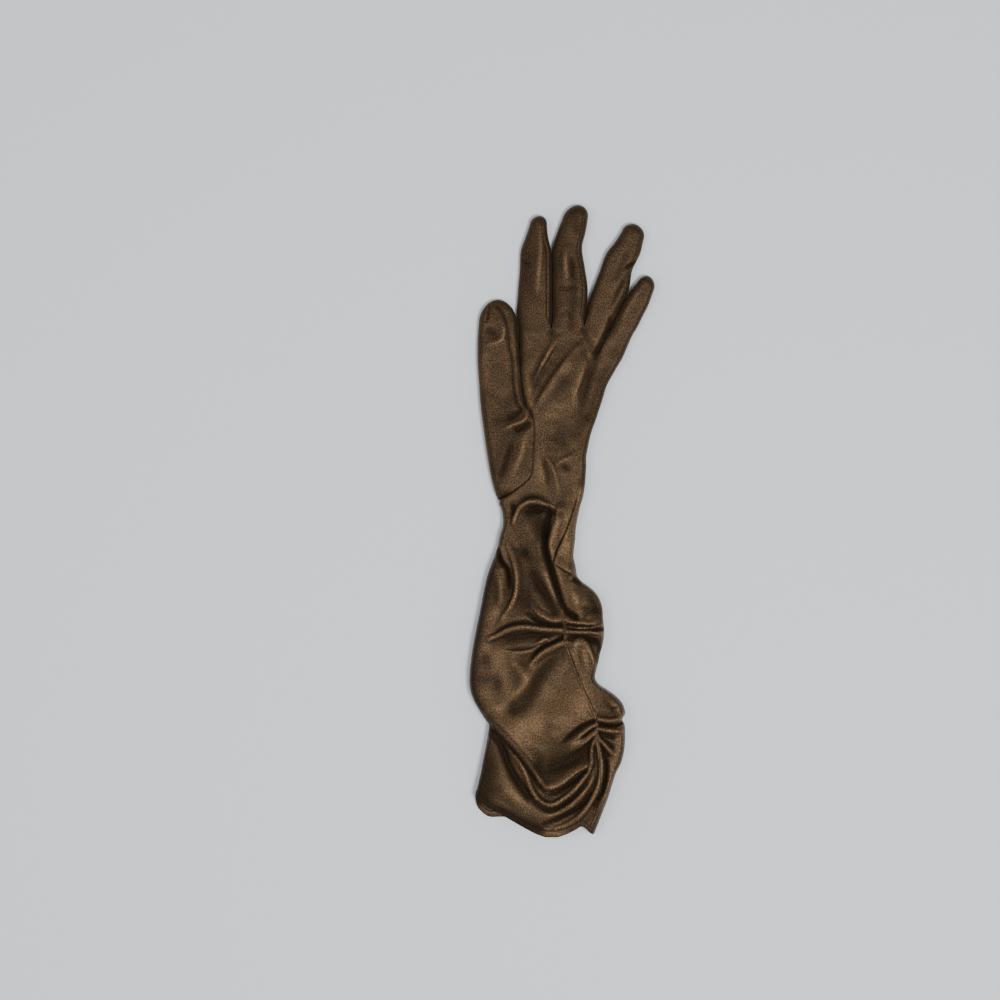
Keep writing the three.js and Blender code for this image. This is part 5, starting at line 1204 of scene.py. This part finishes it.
for lamp_name, place, size, watts in LAMPS:
    lamp = bpy.data.lights.new(lamp_name, "AREA")
    lamp.shape = "DISK"
    lamp.size = size
    lamp.energy = watts
    light = bpy.data.objects.new(lamp_name, lamp)
    light.location = place
    light.rotation_euler = (-light.location).to_track_quat("-Z", "Y").to_euler()
    bpy.context.scene.collection.objects.link(light)
    print(lamp_name, "is", round(light.location.length, 2), "m from the glove")

world = bpy.data.worlds.new("pale_room")
bpy.context.scene.world = world
world.use_nodes = True
room = world.node_tree.nodes["Background"]
room.inputs["Color"].default_value = ROOM_COLOUR
room.inputs["Strength"].default_value = ROOM_LIGHT

# %% [markdown]
# ## Camera
# The camera looks straight down. Its place and lens are worked out so that the picture is as wide as the
# photo and the glove lies in it where it lies in the photo.

# %% Camera
CAMERA_HEIGHT = 2.2  # metres
SENSOR = 36.0
view_width = FRAME_PIXELS * PIXEL * MM
view_x = (FRAME_PIXELS / 2 - GLOVE_AT_PIXEL[0]) * PIXEL * MM
view_y = (GLOVE_AT_PIXEL[1] - FRAME_PIXELS / 2) * PIXEL * MM

camera_data = bpy.data.cameras.new("camera")
camera_data.sensor_width = SENSOR
camera_data.lens = SENSOR * CAMERA_HEIGHT / view_width
camera = bpy.data.objects.new("camera", camera_data)
camera.location = (view_x, view_y, CAMERA_HEIGHT)
bpy.context.scene.collection.objects.link(camera)
bpy.context.scene.camera = camera
print("the picture is", round(view_width, 3), "m wide, lens", round(camera_data.lens, 1), "mm")

# %% [markdown]
# ## Nodes
# A material is a tree of nodes. One function adds a node of any kind, and another either links a value to a
# socket or sets the socket to a number.

# %% Adding a node
def connect(tree, part, socket):
    """Links a value to an input, or sets the input to a number, colour or vector."""
    if isinstance(part, Value):
        tree.links.new(part.socket, socket)
    else:
        socket.default_value = part


def add_node(tree, kind, settings=None, **inputs):
    """A node of this kind: first its settings, then its inputs by name."""
    node = tree.nodes.new(kind)
    for name, setting in (settings or {}).items():
        setattr(node, name, setting)
    for name, part in inputs.items():
        connect(tree, part, node.inputs[name.replace("_", " ")])
    return node


def mixed(tree, factor, first, second):
    """A colour between two others."""
    node = add_node(tree, "ShaderNodeMix", {"data_type": "RGBA"})
    for socket, part in zip((node.inputs[0], node.inputs[6], node.inputs[7]), (factor, first, second)):
        connect(tree, part, socket)
    return Value(tree, node.outputs[2])


# %% [markdown]
# ## Shader maths as expressions
# Node trees are easier to read as formulas. A small class wraps a socket, so that a + b adds a Math node.

# %% A socket that can be calculated with
class Value:
    """An output socket of a node tree. Arithmetic on it adds Math nodes."""

    def __init__(self, tree, socket):
        self.tree, self.socket = tree, socket

    def math(self, operation, *others, first=None):
        start = self if first is None else first
        node = add_node(self.tree, "ShaderNodeMath", {"operation": operation})
        for k, part in enumerate((start, *others)):
            connect(self.tree, part, node.inputs[k])
        return Value(self.tree, node.outputs[0])

    def __add__(self, other):
        return self.math("ADD", other)

    def __radd__(self, other):
        return self.math("ADD", other)

    def __sub__(self, other):
        return self.math("SUBTRACT", other)

    def __rsub__(self, other):
        return self.math("SUBTRACT", self, first=other)

    def __mul__(self, other):
        return self.math("MULTIPLY", other)

    def __rmul__(self, other):
        return self.math("MULTIPLY", other)

    def clamp(self, low, high):
        return self.math("MAXIMUM", low).math("MINIMUM", high)

    def scaled(self, factor):
        """A colour or vector times a number."""
        node = add_node(self.tree, "ShaderNodeVectorMath", {"operation": "SCALE"}, Vector=self, Scale=factor)
        return Value(self.tree, node.outputs[0])


# %% [markdown]
# ## Satin knit
# The cloth is a fine warp knit. Its face is smooth with a soft sheen, and its dark brown thread catches the
# light in specks, so the colour looks mottled close up. The knit's tiny columns follow the UV map. The crest
# number paints a highlight into the colour on crests, and paints shade into it in valleys, which it also
# makes rougher. A partly metallic shader gives the sheen the colour of the thread, as satin does.

# %% The satin knit material
THREAD_DARK, THREAD_LIGHT = (0.017, 0.0096, 0.0048, 1), (0.074, 0.0455, 0.0235, 1)
THREAD_PATCH = (0.041, 0.026, 0.0130, 1)
# scale of a noise over the millimetres of the UV map, its detail, its roughness, and its stretch
GRAIN = (1.15, 2.0, 0.6, (1.0, 0.8, 1.0))
BLOTCH = (0.16, 3.0, 0.6, (1.0, 1.0, 1.0))
SPECK = (3.2, 1.0, 0.5, (1.0, 1.0, 1.0))
GRAIN_CONTRAST = 3.2
PATCH_START, PATCH_CONTRAST, PATCH_MOST = 0.52, 2.4, 0.7
# how much the painted highlight lightens a crest's colour, and the painted shade darkens a valley's
PAINTED_CREST_HIGHLIGHT, PAINTED_VALLEY_SHADE = 1.2, 0.58
ROUGH, ROUGH_GRAIN, ROUGH_SPECK, ROUGH_VALLEY = 0.42, 0.25, 0.1, 0.25
ROUGH_LIMITS = (0.3, 0.75)
WALE_PITCH, COURSE_PITCH, COURSE_BEND = 0.42, 0.36, 0.8  # of the knit's columns and rows
WALE_RELIEF, COURSE_RELIEF, GRAIN_RELIEF, SPECK_RELIEF = 0.25, 0.15, 2.0, 0.5
BUMP_STRENGTH, BUMP_HEIGHT = 0.35, 0.00012
SATIN_SOCKETS = {"Metallic": 0.4, "Sheen Weight": 0.06, "Sheen Roughness": 0.4,
                 "Sheen Tint": (0.7, 0.55, 0.38, 1), "Specular IOR Level": 0.06}


def satin_knit(name, dark, light, patch):
    """A Principled shader whose colour, roughness and bump follow the knit, and the crest number, which
    paints highlight and shade into the colour.
    """
    material = bpy.data.materials.new(name)
    material.use_nodes = True
    tree = material.node_tree
    shader = tree.nodes["Principled BSDF"]
    cloth = Value(tree, add_node(tree, "ShaderNodeUVMap", {"uv_map": "cloth"}).outputs[0])

    def noise(scale, detail, rough, stretch):
        place = add_node(tree, "ShaderNodeMapping", Vector=cloth, Scale=stretch)
        node = add_node(tree, "ShaderNodeTexNoise", Vector=Value(tree, place.outputs[0]), Scale=scale,
                        Detail=detail, Roughness=rough)
        return Value(tree, node.outputs[0])

    grain, blotch, speck = noise(*GRAIN), noise(*BLOTCH), noise(*SPECK)
    grain_mask = ((grain - 0.5) * GRAIN_CONTRAST + 0.5).clamp(0, 1)
    tone = mixed(tree, grain_mask, dark, light)
    patch_mask = ((blotch - PATCH_START) * PATCH_CONTRAST).clamp(0, PATCH_MOST)
    colour = mixed(tree, patch_mask, tone, patch)
    # painted highlight on crests and painted shade in valleys, scaled into the colour
    crest = Value(tree, add_node(tree, "ShaderNodeAttribute", {"attribute_name": "crest"}).outputs["Fac"])
    valley = (0 - crest).clamp(0, 1)
    colour = colour.scaled(1 + crest.clamp(0, 1) * PAINTED_CREST_HIGHLIGHT - valley * PAINTED_VALLEY_SHADE)
    tree.links.new(colour.socket, shader.inputs["Base Color"])
    rough = ROUGH - (grain - 0.5) * ROUGH_GRAIN + (speck - 0.5) * ROUGH_SPECK + valley * ROUGH_VALLEY
    tree.links.new(rough.clamp(*ROUGH_LIMITS).socket, shader.inputs["Roughness"])
    axes = add_node(tree, "ShaderNodeSeparateXYZ", Vector=cloth)
    u, v = Value(tree, axes.outputs[0]), Value(tree, axes.outputs[1])
    wales = (u * (2 * np.pi / WALE_PITCH)).math("SINE")
    bend = (u * (np.pi / WALE_PITCH)).math("SINE") * COURSE_BEND
    courses = (v * (2 * np.pi / COURSE_PITCH) + bend).math("SINE")
    relief = wales * WALE_RELIEF + courses * COURSE_RELIEF + grain * GRAIN_RELIEF + speck * SPECK_RELIEF
    bump = add_node(tree, "ShaderNodeBump", Strength=BUMP_STRENGTH, Distance=BUMP_HEIGHT, Height=relief)
    tree.links.new(bump.outputs[0], shader.inputs["Normal"])
    for socket, setting in SATIN_SOCKETS.items():
        shader.inputs[socket].default_value = setting
    return material


satin = satin_knit("satin_knit", THREAD_DARK, THREAD_LIGHT, THREAD_PATCH)
print(satin.name, "has", len(satin.node_tree.nodes), "nodes")

# %% [markdown]
# ## Which piece stands for which solid
# Each finished piece takes the place of one plain solid of the frame and moves with the glove's only body.

# %% Hand-over to the frame
PIECES = {"palm_panel": palm_panel, "back_panel": back_panel, "thumb": thumb, "hem_band": hem_band}
PIECES.update({piece.name.replace("_cloth", ""): piece for piece in strips})
for node, piece in PIECES.items():
    piece.data.materials.append(satin)
    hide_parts(node)
    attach(piece, "root")
print(len(PIECES), "pieces stand for the solids")
